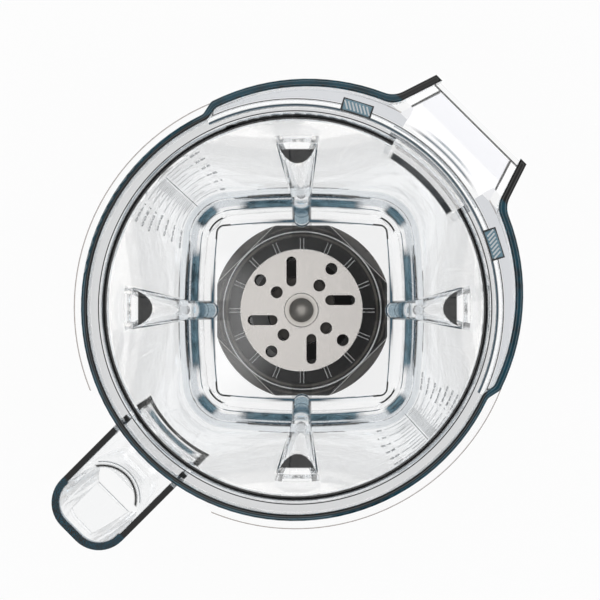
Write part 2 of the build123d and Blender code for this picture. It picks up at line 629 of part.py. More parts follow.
def retainer_nut():
    """Round nut with four flats, a ring of pockets between ribs on top and spanner slots below."""
    bore = HOUSING_RADIUS + NUT_CLEARANCE
    plan = Circle(NUT_RADIUS) & (Rot(0, 0, 45) * Rectangle(2 * NUT_FLAT, 2 * NUT_FLAT))
    plan = fillet(plan.vertices(), NUT_CORNER)
    skirt = slab(plan, NUT_FLANGE_FOOT, NUT_FLANGE_TOP)
    skirt = chamfer(skirt.edges().group_by(Axis.Z)[-1], NUT_EDGE)
    facet = Box(NUT_RADIUS, 2 * NUT_RADIUS, NUT_FLANGE_HEIGHT, align=(Align.MIN, Align.CENTER, Align.MIN))
    facet = Pos(NUT_FACET_APOTHEM, 0, NUT_FLANGE_TOP) * Rot(0, NUT_FACET_TILT, 0) * facet
    for quarter in QUARTERS:
        skirt -= Rot(0, 0, 90 * quarter) * facet
    nut = skirt + ring(0, NUT_RING_OUTER, NUT_WEB_FOOT, NUT_TOP)
    nut -= ring(0, NUT_RING_INNER, NUT_WEB_TOP, NUT_TOP)
    nut += ring(0, NUT_HUB_RADIUS, NUT_FOOT, NUT_TOP)
    rib_plan = Pos(NUT_HUB_RADIUS - PAST, 0) * Rectangle(
        NUT_RING_INNER - NUT_HUB_RADIUS + 2 * PAST, NUT_RIB_WIDTH, align=(Align.MIN, Align.CENTER)
    )
    rib = slab(rib_plan, NUT_WEB_TOP - PAST, NUT_TOP - NUT_RIB_DROP)
    for index in range(NUT_RIB_COUNT):
        nut += Rot(0, 0, index * 360 / NUT_RIB_COUNT) * rib
    slot_plan = Rectangle(2 * NUT_HUB_RADIUS, NUT_SLOT_WIDTH, align=(Align.MIN, Align.CENTER))
    slot = slab(slot_plan, NUT_FOOT - PAST, NUT_FOOT + NUT_SLOT_DEPTH)
    for index in range(NUT_SLOT_COUNT):
        nut -= Rot(0, 0, index * 360 / NUT_SLOT_COUNT) * slot
    return nut - ring(0, bore, NUT_FOOT - PAST, NUT_TOP + PAST)


def raceway(foot):
    """Round groove that the balls of a bearing run in, as a cutting solid."""
    middle = foot + BEARING_HEIGHT / 2
    section = Pos(BALL_PITCH_RADIUS, middle) * Circle(BALL_RADIUS + BALL_CLEARANCE)
    return revolve(Plane.XZ * section, axis=Axis.Z)


def inner_race(foot):
    """Inner ring of a bearing, a close fit on the shaft."""
    bore = BEARING_BORE_RADIUS + FIT_CLEARANCE
    return ring(bore, INNER_LAND_RADIUS, foot, foot + BEARING_HEIGHT) - raceway(foot)


def outer_race(foot):
    """Outer ring of a bearing, a close fit in the housing."""
    outer = BEARING_OUTER_RADIUS - FIT_CLEARANCE
    return ring(OUTER_LAND_RADIUS, outer, foot, foot + BEARING_HEIGHT) - raceway(foot)


def ball_places(foot):
    """Where the balls of a bearing sit."""
    middle = foot + BEARING_HEIGHT / 2
    return [Pos(*polar(BALL_PITCH_RADIUS, index * 360 / BALL_COUNT), middle) for index in range(BALL_COUNT)]


def balls(foot):
    """The balls of a bearing, as separate solids."""
    return Compound(children=[place * Sphere(BALL_RADIUS) for place in ball_places(foot)])


def cage(foot):
    """Crown that spaces the balls of a bearing, with an open round pocket for each."""
    middle = foot + BEARING_HEIGHT / 2
    body = ring(CAGE_INNER, CAGE_OUTER, middle - CAGE_DROP, middle + BALL_RADIUS + CAGE_BACK)
    for place in ball_places(foot):
        body -= place * Sphere(BALL_RADIUS + CAGE_CLEARANCE)
    return body


def race_spacer():
    """Sleeve between the two outer rings."""
    outer = BEARING_OUTER_RADIUS - FIT_CLEARANCE
    return ring(OUTER_LAND_RADIUS, outer, LOWER_BEARING_FOOT + BEARING_HEIGHT, UPPER_BEARING_FOOT)


def shaft_spacer():
    """Sleeve between the two inner rings."""
    bore = BEARING_BORE_RADIUS + FIT_CLEARANCE
    return ring(bore, INNER_LAND_RADIUS, LOWER_BEARING_FOOT + BEARING_HEIGHT, UPPER_BEARING_FOOT)


def shaft_seal():
    """Lip seal in the top of the housing, round the spacer collar."""
    lip = SPACER_RADIUS + SEAL_CLEARANCE
    return turned(
        (SEAL_RADIUS, SEAL_FOOT),
        (SEAL_RADIUS, HOUSING_TOP),
        (lip + SEAL_LIP_BACK, HOUSING_TOP),
        (lip, HOUSING_TOP - SEAL_LIP_HEIGHT),
        (lip + SEAL_LIP_BACK, SEAL_FOOT + SEAL_LIP_HEIGHT),
        (lip + SEAL_LIP_BACK, SEAL_FOOT),
    )


def housing_circlip():
    """Split ring in the housing's groove, under the lower outer ring."""
    outer = BEARING_OUTER_RADIUS + CIRCLIP_GROOVE - FIT_CLEARANCE
    inner = BEARING_OUTER_RADIUS - CIRCLIP_DEPTH
    clip = ring(inner, outer, LOWER_BEARING_FOOT - CIRCLIP_THICKNESS, LOWER_BEARING_FOOT)
    return clip - slab(wedge(CIRCLIP_GAP_ANGLE / 2, outer), 0, LOWER_BEARING_FOOT + PAST)


def drive_shaft():
    """Steel shaft: splined drive end, shoulder under the lower bearing, plain seat and threaded stud."""
    shaft = ring(0, SPLINE_ROOT_RADIUS, SHAFT_FOOT, SPLINE_TOP)
    tooth_angle = 360 / SPLINE_COUNT * SPLINE_SHARE / 2
    teeth_plan = Circle(SPLINE_RADIUS) & wedge(tooth_angle, SPLINE_RADIUS)
    tooth = slab(teeth_plan, SHAFT_FOOT, SPLINE_TOP)
    for index in range(SPLINE_COUNT):
        shaft += Rot(0, 0, index * 360 / SPLINE_COUNT) * tooth
    shaft &= turned(
        (0, SHAFT_FOOT),
        (SPLINE_RADIUS - SPLINE_EDGE, SHAFT_FOOT),
        (SPLINE_RADIUS, SHAFT_FOOT + SPLINE_EDGE),
        (SPLINE_RADIUS, SPLINE_TOP),
        (0, SPLINE_TOP),
    )
    shaft += ring(0, SHAFT_NECK_RADIUS, SPLINE_TOP, LOWER_BEARING_FOOT)
    shaft += ring(0, BEARING_BORE_RADIUS, LOWER_BEARING_FOOT, DISC_FOOT)
    return shaft + ring(0, STUD_RADIUS, DISC_FOOT, HUB_WASHER_TOP + STUD_ENGAGEMENT)


def spacer_collar():
    """Collar on the upper inner ring that carries the disc above the seal."""
    foot = UPPER_BEARING_FOOT + BEARING_HEIGHT
    return turned(
        (BEARING_BORE_RADIUS + FIT_CLEARANCE, foot),
        (SPACER_RADIUS, foot),
        (SPACER_RADIUS, DISC_FOOT - 2 * DISC_SEAT_HEIGHT),
        (DISC_SEAT_RADIUS, DISC_FOOT - DISC_SEAT_HEIGHT),
        (DISC_SEAT_RADIUS, DISC_FOOT),
        (BEARING_BORE_RADIUS + FIT_CLEARANCE, DISC_FOOT),
    )


def agitator_disc():
    """Flat perforated disc: four pairs of round holes and four slots beside their radii."""
    plan = Circle(DISC_RADIUS) - Circle(STUD_RADIUS + FIT_CLEARANCE)
    slot = Pos(DISC_SLOT_RADIUS, DISC_SLOT_OFFSET) * SlotOverall(DISC_SLOT_LENGTH, DISC_SLOT_WIDTH)
    for quarter in QUARTERS:
        plan -= Rot(0, 0, 45 + 90 * quarter) * slot
        for radius in (DISC_OUTER_HOLES, DISC_INNER_HOLES):
            plan -= Pos(*polar(radius, DISC_HOLE_ANGLE + 90 * quarter)) * Circle(DISC_HOLE_RADIUS)
    disc = slab(plan, DISC_FOOT, DISC_TOP)
    rim_edges = disc.edges().filter_by(GeomType.CIRCLE).filter_by(lambda e: e.radius > DISC_OUTER_HOLES)
    return fillet(rim_edges, DISC_EDGE)


def hub_washer():
    """Ring under the cap nut."""
    bore = STUD_RADIUS + FIT_CLEARANCE
    return turned(
        (bore, DISC_TOP),
        (HUB_WASHER_RADIUS, DISC_TOP),
        (HUB_WASHER_RADIUS, HUB_WASHER_TOP - HUB_WASHER_EDGE),
        (HUB_WASHER_RADIUS - HUB_WASHER_EDGE, HUB_WASHER_TOP),
        (bore, HUB_WASHER_TOP),
    )


def cap_nut():
    """Domed nut that clamps the disc, with a blind hole for the stud."""
    foot = HUB_WASHER_TOP
    shoulder = foot + CAP_NUT_SKIRT
    top = shoulder + CAP_NUT_DOME
    side = Polyline((0, top), (0, foot), (CAP_NUT_RADIUS, foot), (CAP_NUT_RADIUS, shoulder))
    dome_radius = (CAP_NUT_RADIUS**2 + CAP_NUT_DOME**2) / (2 * CAP_NUT_DOME)
    dome = RadiusArc(side @ 1, side @ 0, -dome_radius)
    nut = revolve(Plane.XZ * make_face([side, dome]), axis=Axis.Z)
    hole_top = foot + STUD_ENGAGEMENT + STUD_END_GAP
    return nut - ring(0, STUD_RADIUS + FIT_CLEARANCE, foot - PAST, hole_top)


PARTS = {
    "jar": jar,
    "bearing_housing": bearing_housing,
    "housing_gasket": housing_gasket,
    "thrust_washer": thrust_washer,
    "retainer_nut": retainer_nut,
    "upper_outer_race": lambda: outer_race(UPPER_BEARING_FOOT),
    "lower_outer_race": lambda: outer_race(LOWER_BEARING_FOOT),
    "upper_inner_race": lambda: inner_race(UPPER_BEARING_FOOT),
    "lower_inner_race": lambda: inner_race(LOWER_BEARING_FOOT),
    "upper_balls": lambda: balls(UPPER_BEARING_FOOT),
    "lower_balls": lambda: balls(LOWER_BEARING_FOOT),
    "upper_cage": lambda: cage(UPPER_BEARING_FOOT),
    "lower_cage": lambda: cage(LOWER_BEARING_FOOT),
    "race_spacer": race_spacer,
    "shaft_spacer": shaft_spacer,
    "shaft_seal": shaft_seal,
    "housing_circlip": housing_circlip,
    "drive_shaft": drive_shaft,
    "spacer_collar": spacer_collar,
    "agitator_disc": agitator_disc,
    "hub_washer": hub_washer,
    "cap_nut": cap_nut,
}

os.makedirs("parts", exist_ok=True)
for node, build_part in PARTS.items():
    export_step(build_part(), f"parts/{node}.step")
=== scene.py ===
"""Looks of a clear blender jar with a spinning agitator disc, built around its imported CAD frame."""

import json
import logging
import math
from dataclasses import dataclass, field
from enum import Enum
from functools import cache
from typing import Any

import bmesh
import bpy
from mathutils import Matrix, Vector

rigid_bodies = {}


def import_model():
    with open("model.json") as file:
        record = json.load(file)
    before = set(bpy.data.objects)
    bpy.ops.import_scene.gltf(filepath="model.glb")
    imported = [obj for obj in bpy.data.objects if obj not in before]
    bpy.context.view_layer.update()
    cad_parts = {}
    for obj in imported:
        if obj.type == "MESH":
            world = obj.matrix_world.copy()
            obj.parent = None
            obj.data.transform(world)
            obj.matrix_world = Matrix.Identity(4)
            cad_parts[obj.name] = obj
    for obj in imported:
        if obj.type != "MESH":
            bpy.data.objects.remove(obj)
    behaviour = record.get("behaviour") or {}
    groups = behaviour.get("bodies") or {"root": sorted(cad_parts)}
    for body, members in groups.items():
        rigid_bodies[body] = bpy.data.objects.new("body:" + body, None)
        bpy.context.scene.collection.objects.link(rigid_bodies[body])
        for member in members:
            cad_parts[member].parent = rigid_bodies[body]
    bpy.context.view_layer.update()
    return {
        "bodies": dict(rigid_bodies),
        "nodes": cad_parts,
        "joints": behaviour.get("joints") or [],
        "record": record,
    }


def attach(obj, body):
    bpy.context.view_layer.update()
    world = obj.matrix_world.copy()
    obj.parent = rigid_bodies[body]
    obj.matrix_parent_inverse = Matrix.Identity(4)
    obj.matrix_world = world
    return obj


LOG = logging.getLogger("blender_jar")
MM = 0.001
PER_MM = 1 / MM
LIGHT_BOUNCES = 64  # light runs a long way along the inside of the jar's walls


def linear(hex_colour: str) -> tuple[float, float, float, float]:
    """Turns an sRGB hex colour into a linear RGBA value.

    Args:
        hex_colour: colour written as "#rrggbb".

    Returns:
        Linear red, green, blue and an alpha of 1.
    """
    parts = [int(hex_colour[at : at + 2], 16) / 255 for at in (1, 3, 5)]
    red, green, blue = [p / 12.92 if p <= 0.04045 else ((p + 0.055) / 1.055) ** 2.4 for p in parts]
    return red, green, blue, 1.0


def add_node(
    tree: bpy.types.NodeTree, kind: str, inputs: dict[str | int, Any] | None = None, **settings: Any
) -> bpy.types.Node:
    """Adds a node, sets its properties, then fills or links its inputs.

    Args:
        tree: node tree that gets the node.
        kind: the node's type name.
        inputs: values or output sockets by input name or number.
        settings: the node's own properties.

    Returns:
        The new node.
    """
    node = tree.nodes.new(kind)
    for name, value in settings.items():
        setattr(node, name, value)
    for key, value in (inputs or {}).items():
        if isinstance(value, bpy.types.NodeSocket):
            tree.links.new(value, node.inputs[key])
        else:
            node.inputs[key].default_value = value
    return node


class Place(Enum):
    """Measures of a point on the object, in millimetres or degrees, that a pattern can be limited by."""

    HEIGHT = "height above the foot"
    ALONG = "towards the spout"
    ACROSS = "away from the plane of spout and handle, either way"
    RADIUS = "distance from the drive axis"
    ANGLE = "angle from the spout, either way"
    SQUARE = "distance from the axis along the nearest flat's normal"
    ASIDE = "distance from the middle of the nearest flat, along it"
    CORNER = "distance from the plane of the nearest corner"
    BLOCK = "distance from the axis along the nearest corner's plane"
    FLUTE = "distance outside the side of the nearest flute, which widens upwards"
    GRIP = "distance outside the handle's outline seen from above"
    ARCH = "distance from the middle of the arch in the handle"
    WING = "distance from the middle of the spout, with its sides drawn parallel"
    MOUTH = "height above the slanted cut across the top of the nearest flute"


HALF_DIAGONAL = math.sqrt(0.5)
FLUTE_SPREAD, FLUTE_FOOT_HALF, FLUTE_FOOT_HEIGHT = 0.049, 4.7, 58.0
FLUTE_TOP_HEIGHT, FLUTE_TOP_REACH, FLUTE_TOP_SLOPE = 142.0, 69.57, math.tan(math.radians(55.0))
GRIP_HALF_WIDTH, GRIP_TIP, GRIP_CORNER = 17.1, 126.3, 13.0
SPOUT_TAPER, SPOUT_ROOT = 5.6 / 17.0, 86.8
ARCH_MIDDLE = -107.0

# Each measure as a sum on earlier ones: its name, the operation and what goes in.
MEASURES: tuple[tuple[Any, ...], ...] = (
    (Place.ACROSS, "ABSOLUTE", "y"),
    ("reach", "ABSOLUTE", Place.ALONG),
    ("reach squared", "POWER", "reach", 2.0),
    ("radius squared", "MULTIPLY_ADD", Place.ACROSS, Place.ACROSS, "reach squared"),
    (Place.RADIUS, "SQRT", "radius squared"),
    ("turn", "ARCTAN2", Place.ACROSS, Place.ALONG),
    (Place.ANGLE, "DEGREES", "turn"),
    ("both", "ADD", "reach", Place.ACROSS),
    (Place.SQUARE, "MULTIPLY", "both", HALF_DIAGONAL),
    ("gap", "SUBTRACT", "reach", Place.ACROSS),
    ("turned gap", "MULTIPLY", "gap", HALF_DIAGONAL),
    (Place.ASIDE, "ABSOLUTE", "turned gap"),
    (Place.CORNER, "MINIMUM", "reach", Place.ACROSS),
    (Place.BLOCK, "MAXIMUM", "reach", Place.ACROSS),
    ("spread", "MULTIPLY_ADD", Place.HEIGHT, -FLUTE_SPREAD, FLUTE_SPREAD * FLUTE_FOOT_HEIGHT - FLUTE_FOOT_HALF),
    (Place.FLUTE, "ADD", Place.ASIDE, "spread"),
    ("cut", "MULTIPLY_ADD", Place.SQUARE, -FLUTE_TOP_SLOPE, FLUTE_TOP_SLOPE * FLUTE_TOP_REACH - FLUTE_TOP_HEIGHT),
    (Place.MOUTH, "ADD", Place.HEIGHT, "cut"),
    ("side gap", "SUBTRACT", Place.ACROSS, GRIP_HALF_WIDTH - GRIP_CORNER),
    ("side way", "MAXIMUM", "side gap", 0.0),
    ("end gap", "SUBTRACT", GRIP_CORNER - GRIP_TIP, Place.ALONG),
    ("end way", "MAXIMUM", "end gap", 0.0),
    ("end squared", "POWER", "end way", 2.0),
    ("grip squared", "MULTIPLY_ADD", "side way", "side way", "end squared"),
    ("grip reach", "SQRT", "grip squared"),
    (Place.GRIP, "SUBTRACT", "grip reach", GRIP_CORNER),
    ("arch gap", "SUBTRACT", Place.ALONG, ARCH_MIDDLE),
    ("arch squared", "POWER", "arch gap", 2.0),
    ("arch reach", "MULTIPLY_ADD", Place.ACROSS, Place.ACROSS, "arch squared"),
    (Place.ARCH, "SQRT", "arch reach"),
    ("past root", "SUBTRACT", Place.ALONG, SPOUT_ROOT),
    (Place.WING, "MULTIPLY_ADD", "past root", SPOUT_TAPER, Place.ACROSS),
)


@dataclass(frozen=True)
class Finish:
    """A finish: the name of its material and how its shader is set."""

    name: str
    colour: str
    roughness: float
    metallic: float = 0.0
    ior: float = 1.5

    @cache
    def material(self) -> bpy.types.Material:
        """Makes the material, once.

        Returns:
            The material with its shader and pattern.
        """
        made = bpy.data.materials.new(self.name)
        made.use_nodes = True
        tree = made.node_tree
        shader = tree.nodes["Principled BSDF"]
        shader.inputs["Base Color"].default_value = linear(self.colour)
        shader.inputs["Roughness"].default_value = self.roughness
        shader.inputs["Metallic"].default_value = self.metallic
        shader.inputs["IOR"].default_value = self.ior
        self.pattern(tree, shader)
        return made

    def places(
        self, tree: bpy.types.NodeTree, more: tuple[tuple[Any, ...], ...] = ()
    ) -> dict[Any, bpy.types.NodeSocket]:
        """Works out the measures of a point from its Object coordinates.

        Args:
            tree: the material's nodes.
            more: sums that only this finish needs, written as in MEASURES.

        Returns:
            One socket for each measure and each sum.
        """
        spot = add_node(tree, "ShaderNodeTexCoord").outputs["Object"]
        scaled = add_node(tree, "ShaderNodeVectorMath", {0: spot, "Scale": PER_MM}, operation="SCALE")
        axes = add_node(tree, "ShaderNodeSeparateXYZ", {0: scaled.outputs[0]}).outputs
        steps: dict[Any, Any] = {Place.HEIGHT: axes["Z"], Place.ALONG: axes["X"]}
        for name, operation, *inputs in MEASURES + more:
            sources = [steps.get(value, axes["Y"] if value == "y" else value) for value in inputs]
            steps[name] = add_node(
                tree, "ShaderNodeMath", dict(enumerate(sources)), operation=operation
            ).outputs[0]
        return steps

    def pattern(self, tree: bpy.types.NodeTree, shader: bpy.types.Node) -> None:
        """Adds what the plain shader lacks.

        Args:
            tree: the material's nodes.
            shader: its Principled shader.
        """


@dataclass(frozen=True)
class Stretch:
    """A stretch of a piece that gets a colour laid on it, mostly painted shade or painted highlights, within
    limits on the places of its points.
    """

    colour: str
    limits: tuple[tuple[Any, ...], ...]  # a place, the lowest and highest value, and how soft if not as the rest
    soft: float
    body: float
    streaky: bool

    def mask(
        self, tree: bpy.types.NodeTree, places: dict[Place, bpy.types.NodeSocket]
    ) -> bpy.types.NodeSocket:
        """Marks the points within all limits.

        Args:
            tree: the material's nodes.
            places: measures of a point on the object.

        Returns:
            A socket that is 1 within the limits, 0 elsewhere, and runs out softly between.
        """
        inside = None
        for place, low, high, *own_soft in self.limits:
            middle, half = (low + high) / 2, (high - low) / 2
            soft = own_soft[0] if own_soft else self.soft
            shifted = add_node(tree, "ShaderNodeMath", {0: places[place], 1: middle}, operation="SUBTRACT")
            away = add_node(tree, "ShaderNodeMath", {0: shifted.outputs[0]}, operation="ABSOLUTE")
            within = add_node(
                tree,
                "ShaderNodeMapRange",
                {"Value": away.outputs[0], "From Min": half + soft, "From Max": half - soft},
                interpolation_type="SMOOTHSTEP",
            ).outputs[0]
            if inside:
                within = add_node(tree, "ShaderNodeMath", {0: inside, 1: within}, operation="MULTIPLY").outputs[0]
            inside = within
        return inside


def stretch(
    colour: str, soft: float = 0.12, body: float = 1.0, streaky: bool = False, **limits: tuple[float, ...]
) -> Stretch:
    """Makes a stretch from limits that are named after their places.

    Args:
        colour: its colour.
        soft: how far from a limit it runs out.
        body: how much it takes back of what a thin wall lets through.
        streaky: whether dark streaks cross its painted shade.
        limits: for each place the lowest and highest value, and how soft if not as the rest.

    Returns:
        The stretch.
    """
    bounds = tuple((Place[name.upper()], *values) for name, values in limits.items())
    return Stretch(colour, bounds, soft, body, streaky)


@dataclass(frozen=True)
class ClearCopolyester(Finish):
    """Clear copolyester, injection moulded in a polished tool: glassy and faintly blue through its depth, with
    painted slate shade along its edges and bends.
    """

    depth_colour: str = "#93a9b8"
    depth_density: float = 7.0
    # noise that breaks the painted shade into dark streaks: its size, darkest level and range
    streak: float = 7.0
    streak_dark: float = 0.12
    streak_range: tuple[float, float] = (0.3, 0.6)
    painted_shade: tuple[Stretch, ...] = ()
    thin_walls: tuple[Stretch, ...] = ()
    thin_wall_body: float = 0.24

    def pattern(self, tree: bpy.types.NodeTree, shader: bpy.types.Node) -> None:
        """Lets light through, tints it along its way and paints shade on the edges, with dark streaks in it.

        Args:
            tree: the material's nodes.
            shader: its Principled shader.
        """
        places = self.places(tree)
        shader.inputs["Transmission Weight"].default_value = 1.0
        depth = add_node(
            tree,
            "ShaderNodeVolumeAbsorption",
            {"Color": linear(self.depth_colour), "Density": self.depth_density},
        )
        tree.links.new(depth.outputs[0], tree.nodes["Material Output"].inputs["Volume"])
        shade: Any = linear(self.colour)
        tinted: Any = 0.0
        streaky: Any = 0.0
        # painted shade and a few painted pale tints, laid on the base colour by place
        for edge in self.painted_shade:
            mask = edge.mask(tree, places)
            shade = add_node(tree, "ShaderNodeMixRGB", {0: mask, 1: shade, 2: linear(edge.colour)}).outputs[0]
            solid = add_node(tree, "ShaderNodeMath", {0: mask, 1: edge.body}, operation="MULTIPLY").outputs[0]
            tinted = add_node(tree, "ShaderNodeMath", {0: tinted, 1: solid}, operation="MAXIMUM").outputs[0]
            if edge.streaky:
                streaky = add_node(tree, "ShaderNodeMath", {0: streaky, 1: mask}, operation="MAXIMUM").outputs[0]
        spot = add_node(tree, "ShaderNodeTexCoord").outputs["Object"]
        streaks = add_node(
            tree, "ShaderNodeTexNoise", {"Vector": spot, "Scale": PER_MM / self.streak, "Detail": 2.0}
        ).outputs[0]
        low, high = self.streak_range
        depth_of_streak = add_node(
            tree,
            "ShaderNodeMapRange",
            {"Value": streaks, "From Min": low, "From Max": high, "To Min": self.streak_dark, "To Max": 1.0},
        ).outputs[0]
        streaked = add_node(
            tree, "ShaderNodeMixRGB", {0: streaky, 1: shade, 2: depth_of_streak}, blend_type="MULTIPLY"
        )
        tree.links.new(streaked.outputs[0], shader.inputs["Base Color"])
        thin: Any = 0.0
        for wall in self.thin_walls:
            mask = wall.mask(tree, places)
            thin = add_node(tree, "ShaderNodeMath", {0: thin, 1: mask}, operation="MAXIMUM").outputs[0]
        bare = add_node(tree, "ShaderNodeMath", {0: thin, 1: tinted}, operation="SUBTRACT")
        body = add_node(
            tree, "ShaderNodeMapRange", {"Value": bare.outputs[0], "To Min": 1.0, "To Max": self.thin_wall_body}
        )
        tree.links.new(body.outputs[0], shader.inputs["Alpha"])


@dataclass(frozen=True)
class GrainedFinish(Finish):
    """A surface with an even, fine grain: blasted metal, moulded plastic or rubber."""

    grain: float = 0.5
    relief: float = 0.2
    mottle: float = 0.1
    depth: float = 0.3  # of the grain's width

    def pattern(self, tree: bpy.types.NodeTree, shader: bpy.types.Node) -> None:
        """Raises the grain and lets it vary the colour a little.

        Args:
            tree: the material's nodes.
            shader: its Principled shader.
        """
        spot = add_node(tree, "ShaderNodeTexCoord").outputs["Object"]
        grains = add_node(
            tree, "ShaderNodeTexNoise", {"Vector": spot, "Scale": PER_MM / self.grain, "Detail": 2.0}
        ).outputs[0]
        light = linear(self.colour)
        dark = tuple(part * (1 - self.mottle) for part in light[:3]) + (1.0,)
        shade = add_node(tree, "ShaderNodeMixRGB", {0: grains, 1: dark, 2: light})
        tree.links.new(shade.outputs[0], shader.inputs["Base Color"])
        rise = self.grain * self.depth * MM
        bump = add_node(tree, "ShaderNodeBump", {"Height": grains, "Strength": self.relief, "Distance": rise})
        tree.links.new(bump.outputs[0], shader.inputs["Normal"])


@dataclass(frozen=True)
class TurnedFinish(Finish):
    """A metal surface from the lathe or the grinder: fine rings about the drive axis."""

    pitch: float = 0.5
    relief: float = 0.3
    variation: float = 0.12
    depth: float = 0.1  # of the pitch

    def pattern(self, tree: bpy.types.NodeTree, shader: bpy.types.Node) -> None:
        """Cuts rings across the face and up the sides, and varies the gloss between them.

        Args:
            tree: the material's nodes.
            shader: its Principled shader.
        """
        places = self.places(tree)
        way = add_node(
            tree, "ShaderNodeMath", {0: places[Place.RADIUS], 1: places[Place.HEIGHT]}, operation="ADD"
        )
        rings = add_node(
            tree,
            "ShaderNodeTexNoise",
            {"W": way.outputs[0], "Scale": 1 / self.pitch, "Detail": 3.0},
            noise_dimensions="1D",
        ).outputs[0]
        smooth, rough = self.roughness - self.variation, self.roughness + self.variation
        gloss = add_node(tree, "ShaderNodeMapRange", {"Value": rings, "To Min": smooth, "To Max": rough})
        tree.links.new(gloss.outputs[0], shader.inputs["Roughness"])
        rise = self.pitch * self.depth * MM
        bump = add_node(tree, "ShaderNodeBump", {"Height": rings, "Strength": self.relief, "Distance": rise})
        tree.links.new(bump.outputs[0], shader.inputs["Normal"])


@dataclass(frozen=True)
class RibbedNylon(Finish):
    """Black glass-filled nylon as moulded: glossy, faintly speckled, with painted highlight lines along its rib
    edges and its top ring.
    """

    speck: float = 0.7
    variation: float = 0.05
    # colour of the painted highlight lines along the rib edges and the top ring
    highlight_colour: str = "#ffffff"
    rib_count: int = 16
    rib_half_width: float = 1.0
    rib_span: tuple[float, float] = (19.0, 34.6)
    ring_radius: float = 37.6
    line: float = 0.35
    top: float = 30.0
    # painted reflections and painted highlights, laid on before the lines
    marks: tuple[Stretch, ...] = ()

    def pattern(self, tree: bpy.types.NodeTree, shader: bpy.types.Node) -> None:
        """Adds specks, painted lighter patches, and painted highlight lines along the ribs and the top ring.

        Args:
            tree: the material's nodes.
            shader: its Principled shader.
        """
        step = 360 / self.rib_count
        low, high = self.rib_span
        sums = (
            ("offset", "WRAP", Place.ANGLE, step / 2, -step / 2),
            ("turned", "RADIANS", "offset"),
            ("side", "MULTIPLY", "turned", Place.RADIUS),
            ("away", "ABSOLUTE", "side"),
            ("edge", "COMPARE", "away", self.rib_half_width, self.line),
            ("span", "COMPARE", Place.RADIUS, (low + high) / 2, (high - low) / 2),
            ("ribs", "MULTIPLY", "edge", "span"),
            ("ring", "COMPARE", Place.RADIUS, self.ring_radius, self.line),
            ("lines", "MAXIMUM", "ribs", "ring"),
            ("upper", "GREATER_THAN", Place.HEIGHT, self.top),
            ("highlight_lines", "MULTIPLY", "lines", "upper"),
        )
        places = self.places(tree, sums)
        spot = add_node(tree, "ShaderNodeTexCoord").outputs["Object"]
        specks = add_node(
            tree, "ShaderNodeTexNoise", {"Vector": spot, "Scale": PER_MM / self.speck, "Detail": 3.0}
        ).outputs[0]
        smooth, rough = self.roughness - self.variation, self.roughness + self.variation
        gloss = add_node(tree, "ShaderNodeMapRange", {"Value": specks, "To Min": smooth, "To Max": rough})
        tree.links.new(gloss.outputs[0], shader.inputs["Roughness"])
        ground: Any = linear(self.colour)
        for mark in self.marks:
            ground = add_node(
                tree, "ShaderNodeMixRGB", {0: mark.mask(tree, places), 1: ground, 2: linear(mark.colour)}
            ).outputs[0]
        # painted highlight lines on the rib edges and the top ring, over the rest
        shade = add_node(
            tree, "ShaderNodeMixRGB", {0: places["highlight_lines"], 1: ground, 2: linear(self.highlight_colour)}
        )
        tree.links.new(shade.outputs[0], shader.inputs["Base Color"])


# Colours of the painted shade on the clear jar, from black to a pale grey brown.
SHADE_BLACK, SLATE, SHADE_DARK_GREY, BLUE, MIST, PALE = "#000000", "#000710", "#0a1c28", "#284554", "#33363a", "#9c948f"
